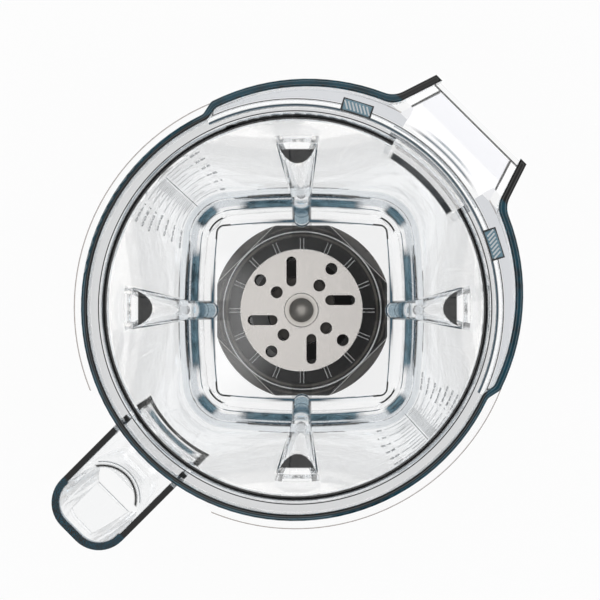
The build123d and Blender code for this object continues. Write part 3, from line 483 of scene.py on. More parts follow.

# Painted shade on the jar: dark tints set by place on Object coordinates where clear plastic looks dark from
# above, standing in for the shade that light gives after a long way along a wall or round a bend; a few pale and
# grey tints are painted the same way. Heights and distances in millimetres, angles in degrees.
JAR_PAINTED_SHADE = (
    # lid ledge: painted grey shade, a painted thin dark line and a painted dark foot beside its bright rounded
    # edge
    stretch(MIST, height=(180.8, 181.2), radius=(78.2, 81.3), body=0.15),
    stretch(SHADE_BLACK, height=(180.6, 181.2), radius=(77.9, 78.4)),
    stretch(SHADE_BLACK, height=(178.3, 181.0), radius=(74.9, 77.2, 0.4), soft=0.3),
    # rounded top of the rim and collar: painted slate shade with dark streaks, near black inside and at the spout
    stretch(SLATE, height=(190.9, 193.0), streaky=True),
    stretch(SHADE_BLACK, height=(190.9, 193.0), radius=(81.0, 82.6), soft=0.5),
    stretch(SHADE_BLACK, height=(190.9, 193.0), along=(87.0, 112.0), soft=0.5),
    # edge of the flange: a painted grey line of shade
    stretch(PALE, height=(178.0, 180.3), radius=(87.9, 88.4)),
    # spout: a painted pale tint on its floor, and painted shade on the feet of its sides, its lip and the bows
    # where it leaves the bead
    stretch("#f8f8fa", wing=(-40.0, 24.0), along=(84.0, 101.0), height=(180.0, 187.0)),
    stretch(SHADE_BLACK, wing=(23.8, 24.6), along=(89.0, 101.0), height=(180.0, 190.0), soft=0.3),
    stretch(SHADE_BLACK, along=(101.0, 101.7), across=(-9.0, 25.0), height=(183.0, 190.0)),
    stretch(SHADE_DARK_GREY, radius=(84.6, 85.6), angle=(-9.0, 11.0, 4.0), height=(180.5, 187.0), soft=0.4),
    stretch(BLUE, radius=(87.2, 87.7), angle=(-9.0, 6.0, 4.0), height=(180.5, 187.0), soft=0.3),
    # bead and lock tabs: a painted grey line on the shelf, and painted shade along their sides
    stretch("#bfc2c8", height=(183.8, 184.2), radius=(83.0, 96.0), along=(-40.0, 84.0)),
    stretch(SHADE_DARK_GREY, height=(183.6, 186.48), radius=(79.4, 80.5), soft=0.3),
    stretch(SHADE_BLACK, height=(183.6, 186.3), radius=(82.15, 82.8)),
    stretch(BLUE, height=(187.2, 188.3), radius=(79.0, 85.2), soft=0.3),
    stretch(SHADE_BLACK, height=(186.0, 188.3), radius=(79.0, 80.3), soft=0.3),
    stretch(SHADE_BLACK, height=(186.8, 188.3), radius=(84.4, 85.4), soft=0.2),
    stretch(SHADE_BLACK, height=(186.8, 188.3), radius=(79.0, 85.4), angle=(22.4, 23.7), soft=0.2),
    stretch(SHADE_BLACK, height=(186.8, 188.3), radius=(79.0, 85.4), angle=(31.3, 32.6), soft=0.2),
    # sill of the pouring channel: painted shade
    stretch("#050607", height=(146.9, 149.6), radius=(70.0, 82.0), angle=(-9.0, 13.4, 0.7), soft=0.35),
    # handle: painted shade on its sides, its slate end, the arch, and the frame where it meets the wall
    stretch(SHADE_BLACK, grip=(-2.6, 0.5), along=(-113.0, -84.0), height=(184.9, 186.5), soft=0.2),
    stretch(SHADE_BLACK, grip=(-2.6, 0.2), along=(-84.0, -77.5), height=(180.7, 181.3), soft=0.2),
    stretch(SLATE, grip=(-3.2, 0.5), along=(-127.0, -112.0), height=(184.9, 186.5), soft=0.3, streaky=True),
    stretch(SHADE_BLACK, arch=(12.5, 13.7), along=(-100.0, -90.0), height=(184.9, 186.5), soft=0.4),
    stretch(SHADE_DARK_GREY, arch=(14.5, 14.9), along=(-98.0, -90.0), height=(184.9, 186.5), soft=0.2),
    stretch(BLUE, height=(150.0, 161.0), across=(-9.0, 13.5), along=(-75.5, -66.0), soft=2.0),
    stretch(SHADE_BLACK, height=(140.0, 147.0), across=(-9.0, 17.6), along=(-75.0, -66.0), soft=0.6),
    stretch(SHADE_BLACK, height=(140.0, 172.0), across=(15.0, 17.6), along=(-75.5, -66.0), soft=0.4),
    # flutes: painted shade on the cut tops, thin side lines and feet
    stretch(SHADE_BLACK, mouth=(-0.7, 0.7), aside=(-9.0, 8.4), square=(58.0, 67.2), soft=0.2),
    stretch(SHADE_DARK_GREY, height=(58.0, 141.0), flute=(-0.45, 0.1)),
    stretch(SHADE_BLACK, height=(42.05, 43.4), aside=(-9.0, 4.8), square=(34.0, 41.4), soft=0.25),
    stretch("#5d7583", height=(43.6, 56.0), aside=(-9.0, 4.0), square=(38.0, 52.0), soft=0.9),
    stretch(SHADE_BLACK, height=(42.2, 58.0), aside=(3.3, 4.4), square=(38.0, 54.0), soft=0.4),
    # painted shade on the foot of the wall, the band round the floor and the outline of the floor
    stretch(SHADE_DARK_GREY, height=(55.6, 57.4), aside=(-9.0, 27.0, 6.0), square=(50.0, 54.5), soft=0.6),
    stretch(BLUE, height=(48.4, 54.6), aside=(-9.0, 28.0, 3.5), square=(46.8, 53.0), soft=0.7, streaky=True),
    stretch(BLUE, height=(49.0, 56.0), corner=(-9.0, 5.6, 1.6), radius=(60.5, 65.4), soft=0.7, streaky=True),
    stretch(SHADE_DARK_GREY, height=(42.0, 43.5), aside=(-9.0, 15.0, 7.0), square=(41.0, 43.6), soft=0.6),
    stretch(SHADE_DARK_GREY, height=(42.1, 42.6), square=(0.0, 45.0), soft=0.08),
    stretch(SHADE_BLACK, height=(42.1, 42.9), corner=(-9.0, 5.0), soft=0.1),
    stretch(SHADE_DARK_GREY, height=(48.7, 49.2), square=(0.0, 51.5), corner=(6.8, 60.0), soft=0.1),
)
# Thin, even stretches that show almost no colour of their own.
JAR_WALLS = (
    stretch("#ffffff", height=(60.0, 171.0), radius=(50.0, 79.0), flute=(0.4, 90.0), soft=0.4),
    stretch("#ffffff", height=(62.0, 128.0, 4.0), flute=(-30.0, -0.9), soft=0.3),
    stretch("#ffffff", height=(142.6, 171.0), radius=(60.0, 79.0), soft=0.4),
    stretch("#ffffff", height=(178.0, 181.5), radius=(77.8, 87.8), soft=0.2),
)


# Painted light on the retaining nut: painted reflections on its facets and in the grooves beside the ring, and
# painted highlights along the facets' upper edges.
NUT_PAINTED_LIGHT = (
    stretch("#4c4843", block=(38.6, 42.0, 0.9), height=(28.0, 45.0)),
    stretch("#d2cfca", block=(37.9, 38.2), height=(28.0, 45.0), soft=0.15),
    stretch("#56524d", radius=(39.2, 40.2), block=(0.0, 36.6), height=(28.0, 45.0), soft=0.5),
    stretch("#6a665f", radius=(35.3, 36.4), height=(28.0, 45.0), soft=0.4),
)


class Steel(Enum):
    """The steels of the drive."""

    # Stainless sheet, blasted with fine glass beads: even pale grey with a soft, slightly sparkling grain. The
    # real grain is about 0.1 mm, drawn at 0.6 mm so that it shows.
    BLASTED = GrainedFinish(
        "bead_blasted_stainless_steel", "#d4d0cc", 0.26, 1.0, grain=0.6, relief=0.3, mottle=0.12
    )
    # Turned stainless steel: rings from the tool catch the light as arcs. Feed marks of 0.1 mm drawn at 0.5 mm.
    TURNED = TurnedFinish("turned_stainless_steel", "#bdb9b4", 0.3, 1.0, pitch=0.5)
    # Stainless steel, polished and a little worn: dark grey, with one soft bright spot on a dome.
    POLISHED = TurnedFinish(
        "polished_stainless_steel", "#7c7975", 0.34, 1.0, pitch=0.8, relief=0.08, variation=0.04
    )
    # Through-hardened bearing steel, ground: cool grey and nearly mirror smooth.
    GROUND = TurnedFinish("ground_bearing_steel", "#b9babd", 0.2, 1.0, pitch=0.3, relief=0.1, variation=0.06)
    # Turned steel, coloured deep brown black, with a soft metal shine.
    BLACKENED = TurnedFinish("black_oxide_steel", "#3d3b39", 0.34, 1.0, pitch=0.6)


class Plastic(Enum):
    """The plastics and rubbers of the jar and its bearing pack."""

    # Clear copolyester, moulded in a polished tool: glassy, with painted slate shade along its edges and bends.
    CLEAR = ClearCopolyester(
        "polished_clear_copolyester", "#ffffff", 0.0, 0.0, 1.57, painted_shade=JAR_PAINTED_SHADE, thin_walls=JAR_WALLS
    )
    # The same copolyester where the tool was etched: raised marks look frosted, pale grey.
    FROSTED = GrainedFinish("frosted_copolyester", "#c2c6c9", 0.55, ior=1.57, grain=0.4, relief=0.3)
    # Glass-filled nylon: near black and glossy, with painted highlights along its edges and painted reflections
    # on its facets.
    BLACK_NYLON = RibbedNylon("black_glass_filled_nylon", "#080808", 0.14, marks=NUT_PAINTED_LIGHT)
    # Nylon cage, injection moulded: brown and a little waxy.
    BROWN_NYLON = GrainedFinish("brown_nylon", "#7a5f42", 0.45, grain=0.8, relief=0.1)
    # Machined acetal washer: milk white, with a faint sheen.
    ACETAL = GrainedFinish("white_acetal", "#e6e5e0", 0.4, grain=0.8, relief=0.1, mottle=0.05)
    # Moulded nitrile rubber: dull black with fine mottling.
    RUBBER = GrainedFinish("black_nitrile_rubber", "#1a1a1a", 0.6, grain=0.6, relief=0.3, mottle=0.3)
    # Moulded silicone: soft grey, satin.
    SILICONE = GrainedFinish("grey_silicone", "#a3a3a3", 0.5, grain=0.7, relief=0.15)


FINISHES = {
    "clear_copolyester": Plastic.CLEAR,
    "stainless_steel": Steel.TURNED,
    "polished_steel": Steel.POLISHED,
    "bearing_steel": Steel.GROUND,
    "blackened_steel": Steel.BLACKENED,
    "black_nylon": Plastic.BLACK_NYLON,
    "brown_nylon": Plastic.BROWN_NYLON,
    "white_acetal": Plastic.ACETAL,
    "seal_rubber": Plastic.RUBBER,
    "seal_silicone": Plastic.SILICONE,
}


@dataclass
class NodePiece:
    """A piece that a Geometry Nodes tree makes: its name, body, material slot and finish."""

    name: str
    body: str
    slot: str
    finish: Finish

    def inputs(self) -> dict[str, tuple[str, Any]]:
        """Gives the tree's named inputs: the kind of each socket and its value."""
        return {}

    def start(self) -> bpy.types.Mesh:
        """Makes the mesh that the tree starts from."""
        return bpy.data.meshes.new(self.name)

    def grow(self, tree: bpy.types.NodeTree, given: Any) -> bpy.types.NodeSocket:
        """Adds the nodes that make the shape.

        Args:
            tree: the Geometry Nodes tree.
            given: output sockets of the group's inputs, by name.

        Returns:
            The socket that carries the shape.
        """
        return given["Geometry"]

    def build(self) -> bpy.types.Object:
        """Builds the tree, evaluates it once and keeps the result as a plain mesh.

        Returns:
            The finished piece, riding on its body.
        """
        tree = bpy.data.node_groups.new(self.name, "GeometryNodeTree")
        wanted = {"Material": ("NodeSocketMaterial", self.finish.material()), **self.inputs()}
        tree.interface.new_socket("Geometry", in_out="OUTPUT", socket_type="NodeSocketGeometry")
        tree.interface.new_socket("Geometry", in_out="INPUT", socket_type="NodeSocketGeometry")
        sockets = {
            label: tree.interface.new_socket(label, in_out="INPUT", socket_type=kind).identifier
            for label, (kind, _) in wanted.items()
        }
        given = add_node(tree, "NodeGroupInput").outputs
        whole = add_node(tree, "GeometryNodeRealizeInstances", {0: self.grow(tree, given)})
        dressed = add_node(tree, "GeometryNodeSetMaterial", {0: whole.outputs[0], "Material": given["Material"]})
        add_node(tree, "NodeGroupOutput", {0: dressed.outputs[0]})
        piece = bpy.data.objects.new(self.name, self.start())
        bpy.context.scene.collection.objects.link(piece)
        modifier = piece.modifiers.new(self.name, "NODES")
        modifier.node_group = tree
        for label, identifier in sockets.items():
            modifier[identifier] = wanted[label][1]
        view = bpy.context.evaluated_depsgraph_get()
        mesh = bpy.data.meshes.new_from_object(piece.evaluated_get(view))
        piece.modifiers.remove(modifier)
        piece.data = mesh
        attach(piece, self.body)
        LOG.info("built %s: %d faces", self.name, len(mesh.polygons))
        return piece


class Side(Enum):
    """The two corners of the jar that carry fill marks, by the way they face."""

    LEFT = 1.0
    RIGHT = -1.0


@dataclass
class FillMarks(NodePiece):
    """Raised fill marks on one corner of the jar: a centre line between millilitres and ounces."""

    wall: bpy.types.Object
    side: Side
    # heights of the marks for every 100 millilitres and every 4 ounces, from the jar's own volume
    millilitres: tuple[float, ...] = (
        53.7, 63.2, 72.1, 80.7, 88.9, 96.8, 104.4, 111.8, 119.0, 125.9, 132.7, 139.2, 145.5, 151.7,
    )
    ounces: tuple[float, ...] = (55.6, 66.5, 76.8, 86.7, 96.1, 105.1, 113.8, 122.2, 130.3, 138.1, 145.6, 152.9)
    ounce_step: int = 4
    millilitre_step: int = 100
    line_ends: tuple[float, float] = (57.0, 152.0)
    lowest: float = 60.0
    long_mark: float = 11.0
    short_mark: float = 6.5
    fine_mark: float = 6.5 / 1.5
    mark_gap: float = 0.8
    number_gap: float = 1.8
    bar_points: int = 8
    rise: float = 0.42
    relief: float = 0.3
    text_size: float = 4.6
    text_steps: int = 2
    stand: float = 120.0

    def inputs(self) -> dict[str, tuple[str, Any]]:
        """Gives the wall to lie on, the way it faces and the relief."""
        way = self.side.value
        return {
            "Wall": ("NodeSocketObject", self.wall),
            "Outwards": ("NodeSocketVector", (0.0, way, 0.0)),
            "Rightwards": ("NodeSocketVector", (-way, 0.0, 0.0)),
            "Stand": ("NodeSocketFloat", self.stand * MM),
            "Relief": ("NodeSocketFloat", self.relief * MM),
        }

    def marks(self) -> list[tuple[float, float, float, float]]:
        """Lists the lines of both scales.

        Returns:
            For each line its middle across and up, its span and its rise, in millimetres.
        """
        low, high = self.line_ends
        lines = [(0.0, (low + high) / 2, self.rise, high - low)]
        between = [(a + b) / 2 for a, b in zip(self.millilitres, self.millilitres[1:])]
        for way, heights in ((1, self.millilitres), (-1, self.ounces)):
            for count, height in enumerate(heights, 1):
                span = self.short_mark if count % 2 else self.long_mark
                lines.append((way * (span / 2 + self.mark_gap), height, span, self.rise))
        lines += [(self.fine_mark / 2 + self.mark_gap, height, self.fine_mark, self.rise) for height in between]
        return [line for line in lines if line[1] > self.lowest]

    def numbers(self) -> list[tuple[str, float, float, str]]:
        """Lists the numbers of both scales.

        Returns:
            For each number its text, place across, height and alignment.
        """
        beside = self.long_mark + self.number_gap
        found = []
        for way, heights, step, align in (
            (1, self.millilitres, self.millilitre_step, "LEFT"),
            (-1, self.ounces, self.ounce_step, "RIGHT"),
        ):
            for count, height in enumerate(heights, 1):
                if count % 2 == 0 and height > self.lowest:
                    found.append((str(count * step), way * beside, height, align))
        return found

    def start(self) -> bpy.types.Mesh:
        """Draws the numbers flat, and a point for each line with its span and rise.

        Returns:
            The mesh, with x to the right, y up and z outwards.
        """
        drawing = bmesh.new()
        for words, across, height, align in self.numbers():
            curve = bpy.data.curves.new("number", "FONT")
            curve.body, curve.size = words, self.text_size * MM
            curve.align_x, curve.align_y = align, "CENTER"
            curve.extrude, curve.resolution_u = self.relief * MM / 2, self.text_steps
            holder = bpy.data.objects.new("number", curve)
            letters = bpy.data.meshes.new_from_object(holder)
            letters.transform(Matrix.Translation(Vector((across, height, 0.0)) * MM))
            drawing.from_mesh(letters)
            bpy.data.objects.remove(holder)
            bpy.data.curves.remove(curve)
            bpy.data.meshes.remove(letters)
        spans = drawing.verts.layers.float.new("span")
        rises = drawing.verts.layers.float.new("rise")
        for across, height, span, rise in self.marks():
            point = drawing.verts.new(Vector((across, height, 0.0)) * MM)
            point[spans], point[rises] = span * MM, rise * MM
        mesh = bpy.data.meshes.new(self.name)
        drawing.to_mesh(mesh)
        drawing.free()
        return mesh

    def grow(self, tree: bpy.types.NodeTree, given: Any) -> bpy.types.NodeSocket:
        """Stands a bar on each point and lays bars and numbers on the wall.

        Args:
            tree: the Geometry Nodes tree.
            given: output sockets of the group's inputs, by name.

        Returns:
            The socket that carries the marks.
        """
        span, rise = (
            add_node(tree, "GeometryNodeInputNamedAttribute", {"Name": label}, data_type="FLOAT").outputs[0]
            for label in ("span", "rise")
        )
        is_line = add_node(tree, "ShaderNodeMath", {0: span, 1: 0.0}, operation="GREATER_THAN")
        parts = add_node(
            tree, "GeometryNodeSeparateGeometry", {0: given["Geometry"], "Selection": is_line.outputs[0]}
        )
        bar_size = add_node(tree, "ShaderNodeCombineXYZ", {"X": 1.0, "Y": 1.0, "Z": given["Relief"]})
        bar = add_node(
            tree,
            "GeometryNodeMeshCube",
            {"Size": bar_size.outputs[0], "Vertices X": self.bar_points, "Vertices Y": self.bar_points},
        )
        bar_scale = add_node(tree, "ShaderNodeCombineXYZ", {"X": span, "Y": rise, "Z": 1.0})
        bars = add_node(
            tree,
            "GeometryNodeInstanceOnPoints",
            {"Points": parts.outputs[0], "Instance": bar.outputs[0], "Scale": bar_scale.outputs[0]},
        )
        solid = add_node(tree, "GeometryNodeRealizeInstances", {0: bars.outputs[0]})
        flat = add_node(tree, "GeometryNodeJoinGeometry", {0: parts.outputs[1]})
        tree.links.new(solid.outputs[0], flat.inputs[0])
        place = add_node(tree, "GeometryNodeInputPosition").outputs[0]
        across, up, depth = add_node(tree, "ShaderNodeSeparateXYZ", {0: place}).outputs
        source = add_node(tree, "ShaderNodeCombineXYZ", {"Z": up}).outputs[0]
        for vector, amount in ((given["Rightwards"], across), (given["Outwards"], given["Stand"])):
            step = add_node(tree, "ShaderNodeVectorMath", {0: vector, "Scale": amount}, operation="SCALE")
            source = add_node(tree, "ShaderNodeVectorMath", {0: source, 1: step.outputs[0]}).outputs[0]
        inwards = add_node(tree, "ShaderNodeVectorMath", {0: given["Outwards"], "Scale": -1.0}, operation="SCALE")
        wall = add_node(tree, "GeometryNodeObjectInfo", {"Object": given["Wall"]})
        hit = add_node(
            tree,
            "GeometryNodeRaycast",
            {
                "Target Geometry": wall.outputs["Geometry"],
                "Source Position": source,
                "Ray Direction": inwards.outputs[0],
                "Ray Length": given["Stand"],
            },
        ).outputs
        lift = add_node(tree, "ShaderNodeVectorMath", {0: hit["Hit Normal"], "Scale": depth}, operation="SCALE")
        resting = add_node(tree, "ShaderNodeVectorMath", {0: hit["Hit Position"], 1: lift.outputs[0]})
        laid = add_node(tree, "GeometryNodeSetPosition", {0: flat.outputs[0], "Position": resting.outputs[0]})
        return laid.outputs[0]


@dataclass
class TabGrips(NodePiece):
    """Slanted ribs on the tops of the two lid-lock tabs."""

    # moulded at a pitch of about 0.9 mm, drawn coarser so that single ribs show
    count: int = 7
    pitch: float = 1.5
    rib: tuple[float, float, float] = (3.6, 0.6, 0.6)
    lean: float = 32.0
    reach: float = 82.2
    top: float = 188.0
    turn: float = 27.5

    def inputs(self) -> dict[str, tuple[str, Any]]:
        """Gives the number, pitch, size and lean of the ribs and the place of the tabs."""
        return {
            "Count": ("NodeSocketInt", self.count),
            "Pitch": ("NodeSocketFloat", self.pitch * MM),
            "Rib Size": ("NodeSocketVector", tuple(side * MM for side in self.rib)),
            "Lean": ("NodeSocketFloat", math.radians(self.lean)),
            "Reach": ("NodeSocketFloat", self.reach * MM),
            "Top": ("NodeSocketFloat", self.top * MM),
            "Turn": ("NodeSocketFloat", math.radians(self.turn)),
        }

    def grow(self, tree: bpy.types.NodeTree, given: Any) -> bpy.types.NodeSocket:
        """Rows the ribs up, and turns one row to each tab.

        Args:
            tree: the Geometry Nodes tree.
            given: output sockets of the group's inputs, by name.

        Returns:
            The socket that carries the ribs.
        """
        steps = add_node(tree, "ShaderNodeMath", {0: given["Count"], 1: 1.0}, operation="SUBTRACT").outputs[0]
        length = add_node(tree, "ShaderNodeMath", {0: steps, 1: given["Pitch"]}, operation="MULTIPLY").outputs[0]
        first = add_node(tree, "ShaderNodeMath", {0: length, 1: -0.5}, operation="MULTIPLY").outputs[0]
        begin = add_node(
            tree, "ShaderNodeCombineXYZ", {"X": given["Reach"], "Y": first, "Z": given["Top"]}
        ).outputs[0]
        offset = add_node(tree, "ShaderNodeCombineXYZ", {"Y": given["Pitch"]}).outputs[0]
        row = add_node(
            tree, "GeometryNodeMeshLine", {"Count": given["Count"], "Start Location": begin, "Offset": offset}
        )
        rib = add_node(tree, "GeometryNodeMeshCube", {"Size": given["Rib Size"]})
        lean = add_node(tree, "ShaderNodeCombineXYZ", {"Z": given["Lean"]})
        ribs = add_node(
            tree,
            "GeometryNodeInstanceOnPoints",
            {"Points": row.outputs[0], "Instance": rib.outputs[0], "Rotation": lean.outputs[0]},
        )
        both = add_node(tree, "GeometryNodeJoinGeometry")
        for way in (1.0, -1.0):
            angle = add_node(tree, "ShaderNodeMath", {0: given["Turn"], 1: way}, operation="MULTIPLY")
            turn = add_node(tree, "ShaderNodeCombineXYZ", {"Z": angle.outputs[0]})
            turned = add_node(
                tree, "GeometryNodeTransform", {"Geometry": ribs.outputs[0], "Rotation": turn.outputs[0]}
            )
            tree.links.new(turned.outputs[0], both.inputs[0])
        return both.outputs[0]


@dataclass
class HousingThread(NodePiece):
    """The thread on the foot of the bearing housing, which the retaining nut screws on to."""

    radius: float = 14.3
    foot: float = 16.9
    height: float = 2.7
    turns: float = 2.7
    flank: float = 0.42
    steps: int = 64
    sides: int = 6

    def inputs(self) -> dict[str, tuple[str, Any]]:
        """Gives the thread's radius, foot, height, turns and flank."""
        return {
            "Radius": ("NodeSocketFloat", self.radius * MM),
            "Foot": ("NodeSocketFloat", self.foot * MM),
            "Height": ("NodeSocketFloat", self.height * MM),
            "Turns": ("NodeSocketFloat", self.turns),
            "Flank": ("NodeSocketFloat", self.flank * MM),
        }

    def grow(self, tree: bpy.types.NodeTree, given: Any) -> bpy.types.NodeSocket:
        """Runs a six-sided ridge along a spiral.

        Args:
            tree: the Geometry Nodes tree.
            given: output sockets of the group's inputs, by name.

        Returns:
            The socket that carries the thread.
        """
        spiral = add_node(
            tree,
            "GeometryNodeCurveSpiral",
            {
                "Resolution": self.steps,
                "Rotations": given["Turns"],
                "Start Radius": given["Radius"],
                "End Radius": given["Radius"],
                "Height": given["Height"],
            },
        )
        flank = add_node(
            tree, "GeometryNodeCurvePrimitiveCircle", {"Resolution": self.sides, "Radius": given["Flank"]}
        )
        ridge = add_node(
            tree,
            "GeometryNodeCurveToMesh",
            {"Curve": spiral.outputs[0], "Profile Curve": flank.outputs[0], "Fill Caps": True},
        )
        lift = add_node(tree, "ShaderNodeCombineXYZ", {"Z": given["Foot"]})
        placed = add_node(
            tree, "GeometryNodeTransform", {"Geometry": ridge.outputs[0], "Translation": lift.outputs[0]}
        )
        return placed.outputs[0]


@dataclass
class SubAssembly:
    """CAD pieces that belong together, and what is added to them here."""

    frame: dict[str, Any]
    names: tuple[str, ...]
    special: dict[str, Finish] = field(default_factory=dict)

    def build(self) -> None:
        """Adds the pieces made here; a plain sub-assembly has none."""

    def dress(self) -> None:
        """Gives each CAD piece the finish of its slot, or a special one."""
        for part in self.frame["record"]["subparts"]:
            if part["node"] not in self.names:
                continue
            node = self.frame["nodes"][part["node"]]
            finish = self.special.get(part["node"], FINISHES[part["material_slot"]].value)
            node.data.materials.clear()
            node.data.materials.append(finish.material())
            LOG.info("dressed %s", part["node"])


@dataclass
class JarMoulding(SubAssembly):
    """The clear jar with its fill marks and the ribs on its lock tabs."""

    names: tuple[str, ...] = ("jar",)
    body: str = "jar_body"
    slot: str = "clear_copolyester"

    def build(self) -> None:
        """Adds the fill marks of both corners and the ribs on the tabs."""
        frosted = Plastic.FROSTED.value
        for side in Side:
            name = f"fill_marks_{side.name.lower()}"
            FillMarks(name, self.body, self.slot, frosted, self.frame["nodes"]["jar"], side).build()
        TabGrips("tab_grips", self.body, self.slot, frosted).build()


@dataclass
class BearingPack(SubAssembly):
    """The housing with its nut, gasket, seal and bearings, and the thread on its foot."""

    names: tuple[str, ...] = (
        "bearing_housing", "housing_gasket", "thrust_washer", "retainer_nut", "upper_outer_race",
        "lower_outer_race", "upper_balls", "lower_balls", "upper_cage", "lower_cage", "race_spacer",
        "shaft_seal", "housing_circlip",
    )
    body: str = "jar_body"

    def build(self) -> None:
        """Adds the housing's thread."""
        HousingThread("housing_thread", self.body, "blackened_steel", Steel.BLACKENED.value).build()


@dataclass
class Agitator(SubAssembly):
    """The spinning group: shaft, inner races, collar, disc, washer and cap nut."""

    names: tuple[str, ...] = (
        "drive_shaft", "upper_inner_race", "lower_inner_race", "shaft_spacer", "spacer_collar",
        "agitator_disc", "hub_washer", "cap_nut",
    )
    special: dict[str, Finish] = field(default_factory=lambda: {"agitator_disc": Steel.BLASTED.value})


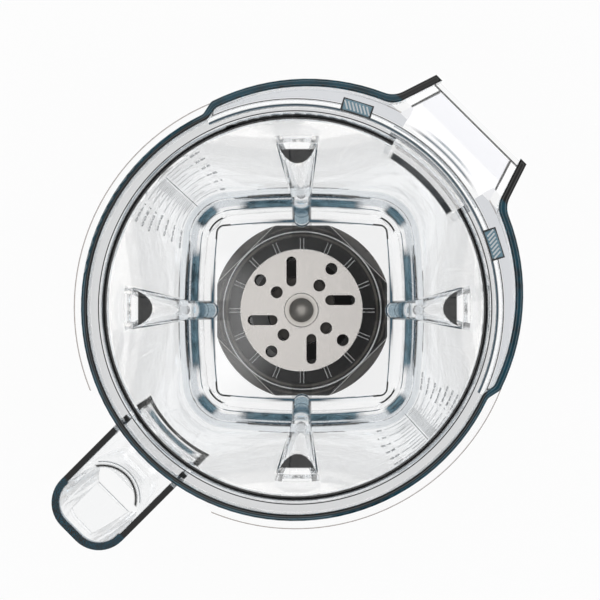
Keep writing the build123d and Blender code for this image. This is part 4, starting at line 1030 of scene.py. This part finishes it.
@dataclass
class Studio:
    """Camera straight above, pale floor, soft light from a ring overhead and a surround that mirrors as slate."""

    camera_place: tuple[float, float, float] = (6.9, -17.7, 892.0)
    camera_aim: tuple[float, float, float] = (3.57, 0.25, 192.0)
    camera_up: tuple[float, float, float] = (1.0, 1.0, 0.0)
    lens: float = 107.4
    nearest: float = 0.01
    floor_half: float = 8.0
    floor_drop: float = 0.4
    floor_colour: str = "#e8e8e8"
    floor_white: float = 0.93
    # Angle from straight up in degrees, and the sky's level there: a dark spot where the camera hangs, a bright
    # ring of soft boxes round it, and a slate surround for what mirrors it. Seen through the jar, the surround is
    # white below the angle of the backdrop.
    sky: tuple[tuple[float, tuple[float, float, float]], ...] = (
        (90.0, (0.012, 0.02, 0.026)),
        (68.0, (0.02, 0.03, 0.036)),
        (60.0, (0.5, 0.5, 0.5)),
        (34.0, (0.6, 0.6, 0.6)),
        (30.0, (2.6, 2.6, 2.6)),
        (16.0, (2.6, 2.6, 2.6)),
        (14.0, (0.7, 0.7, 0.7)),
        (6.0, (0.7, 0.7, 0.7)),
        (4.0, (0.1, 0.1, 0.1)),
        (0.0, (0.1, 0.1, 0.1)),
    )
    backdrop: float = 64.0
    tilt_way: tuple[float, float, float] = (1.0, -1.0, 0.0)
    sky_tilt: float = 2.0
    box_tilt: float = -4.4
    box_reach: tuple[float, float] = (3.0, 1.6)
    box_level: float = 1.5

    def camera(self) -> None:
        """Makes the camera at the photograph's viewing angle."""
        data = bpy.data.cameras.new("camera")
        data.lens = self.lens
        data.clip_start = self.nearest
        camera = bpy.data.objects.new("camera", data)
        bpy.context.scene.collection.objects.link(camera)
        place = Vector(self.camera_place) * MM
        back = (place - Vector(self.camera_aim) * MM).normalized()
        right = Vector(self.camera_up).cross(back).normalized()
        up = back.cross(right)
        turn = Matrix((right, up, back)).transposed()
        camera.matrix_world = Matrix.Translation(place) @ turn.to_4x4()
        bpy.context.scene.camera = camera

    def floor(self) -> None:
        """Makes the pale floor: white to the eye and in glass, matte to the light, so that it keeps a shadow."""
        half, height = self.floor_half, -self.floor_drop * MM
        mesh = bpy.data.meshes.new("floor")
        corners = [(-half, -half, height), (half, -half, height), (half, half, height), (-half, half, height)]
        mesh.from_pydata(corners, [], [(0, 1, 2, 3)])
        floor = bpy.data.objects.new("floor", mesh)
        bpy.context.scene.collection.objects.link(floor)
        material = bpy.data.materials.new("pale_floor")
        material.use_nodes = True
        tree = material.node_tree
        tree.nodes.remove(tree.nodes["Principled BSDF"])
        rays = add_node(tree, "ShaderNodeLightPath").outputs
        seen = rays["Is Camera Ray"]
        for kind in ("Is Glossy Ray", "Is Transmission Ray"):
            seen = add_node(tree, "ShaderNodeMath", {0: seen, 1: rays[kind]}, operation="MAXIMUM").outputs[0]
        matte = add_node(tree, "ShaderNodeBsdfDiffuse", {"Color": linear(self.floor_colour)})
        white = add_node(tree, "ShaderNodeEmission", {"Color": linear("#ffffff"), "Strength": 1.0})
        share = add_node(tree, "ShaderNodeMath", {0: seen, 1: self.floor_white}, operation="MULTIPLY")
        mixed = add_node(
            tree, "ShaderNodeMixShader", {0: share.outputs[0], 1: matte.outputs[0], 2: white.outputs[0]}
        )
        tree.links.new(mixed.outputs[0], tree.nodes["Material Output"].inputs["Surface"])
        mesh.materials.append(material)

    def world(self) -> None:
        """Lights the scene from the sky's rings; seen straight, or low down through the jar, it is white."""
        world = bpy.data.worlds.new("studio")
        bpy.context.scene.world = world
        world.use_nodes = True
        tree = world.node_tree
        surround = add_node(tree, "ShaderNodeTexCoord").outputs["Generated"]
        heights = []
        for tilt in (self.sky_tilt, self.box_tilt):
            lean = Vector(self.tilt_way).normalized() * math.tan(math.radians(tilt))
            axis = tuple((lean + Vector((0.0, 0.0, 1.0))).normalized())
            toward = add_node(tree, "ShaderNodeVectorMath", {0: surround, 1: axis}, operation="DOT_PRODUCT")
            heights.append(toward.outputs["Value"])
        ramp = add_node(tree, "ShaderNodeValToRGB", {0: heights[0]})
        stops = ramp.color_ramp.elements
        stops.remove(stops[1])
        for index, (angle, level) in enumerate(self.sky):
            stop = stops.new(math.cos(math.radians(angle))) if index else stops[0]
            stop.color = (*level, 1.0)
        outer, inner = [math.cos(math.radians(angle)) for angle in self.box_reach]
        box = add_node(
            tree,
            "ShaderNodeMapRange",
            {"Value": heights[1], "From Min": outer, "From Max": inner, "To Max": self.box_level},
        )
        lit = add_node(
            tree, "ShaderNodeMixRGB", {0: 1.0, 1: ramp.outputs[0], 2: box.outputs[0]}, blend_type="LIGHTEN"
        )
        rays = add_node(tree, "ShaderNodeLightPath").outputs
        edge = math.cos(math.radians(self.backdrop))
        low = add_node(tree, "ShaderNodeMath", {0: heights[0], 1: edge}, operation="LESS_THAN").outputs[0]
        through = add_node(
            tree, "ShaderNodeMath", {0: rays["Is Transmission Ray"], 1: low}, operation="MULTIPLY"
        ).outputs[0]
        seen = add_node(tree, "ShaderNodeMath", {0: rays["Is Camera Ray"], 1: through}, operation="MAXIMUM")
        shown = add_node(tree, "ShaderNodeMixRGB", {0: seen.outputs[0], 1: lit.outputs[0], 2: linear("#ffffff")})
        tree.links.new(shown.outputs[0], tree.nodes["Background"].inputs["Color"])

    def build(self) -> None:
        """Makes everything round the object."""
        self.camera()
        self.floor()
        self.world()
        cycles = bpy.context.scene.cycles
        cycles.max_bounces = cycles.transmission_bounces = cycles.glossy_bounces = LIGHT_BOUNCES
        bpy.context.scene.view_settings.view_transform = "Standard"


def main() -> None:
    """Builds the scene in order."""
    logging.basicConfig(level=logging.INFO)
    bpy.ops.wm.read_factory_settings(use_empty=True)
    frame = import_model()
    for kind in (JarMoulding, BearingPack, Agitator):
        group = kind(frame)
        group.build()
        group.dress()
    Studio().build()


if __name__ == "__main__":
    main()
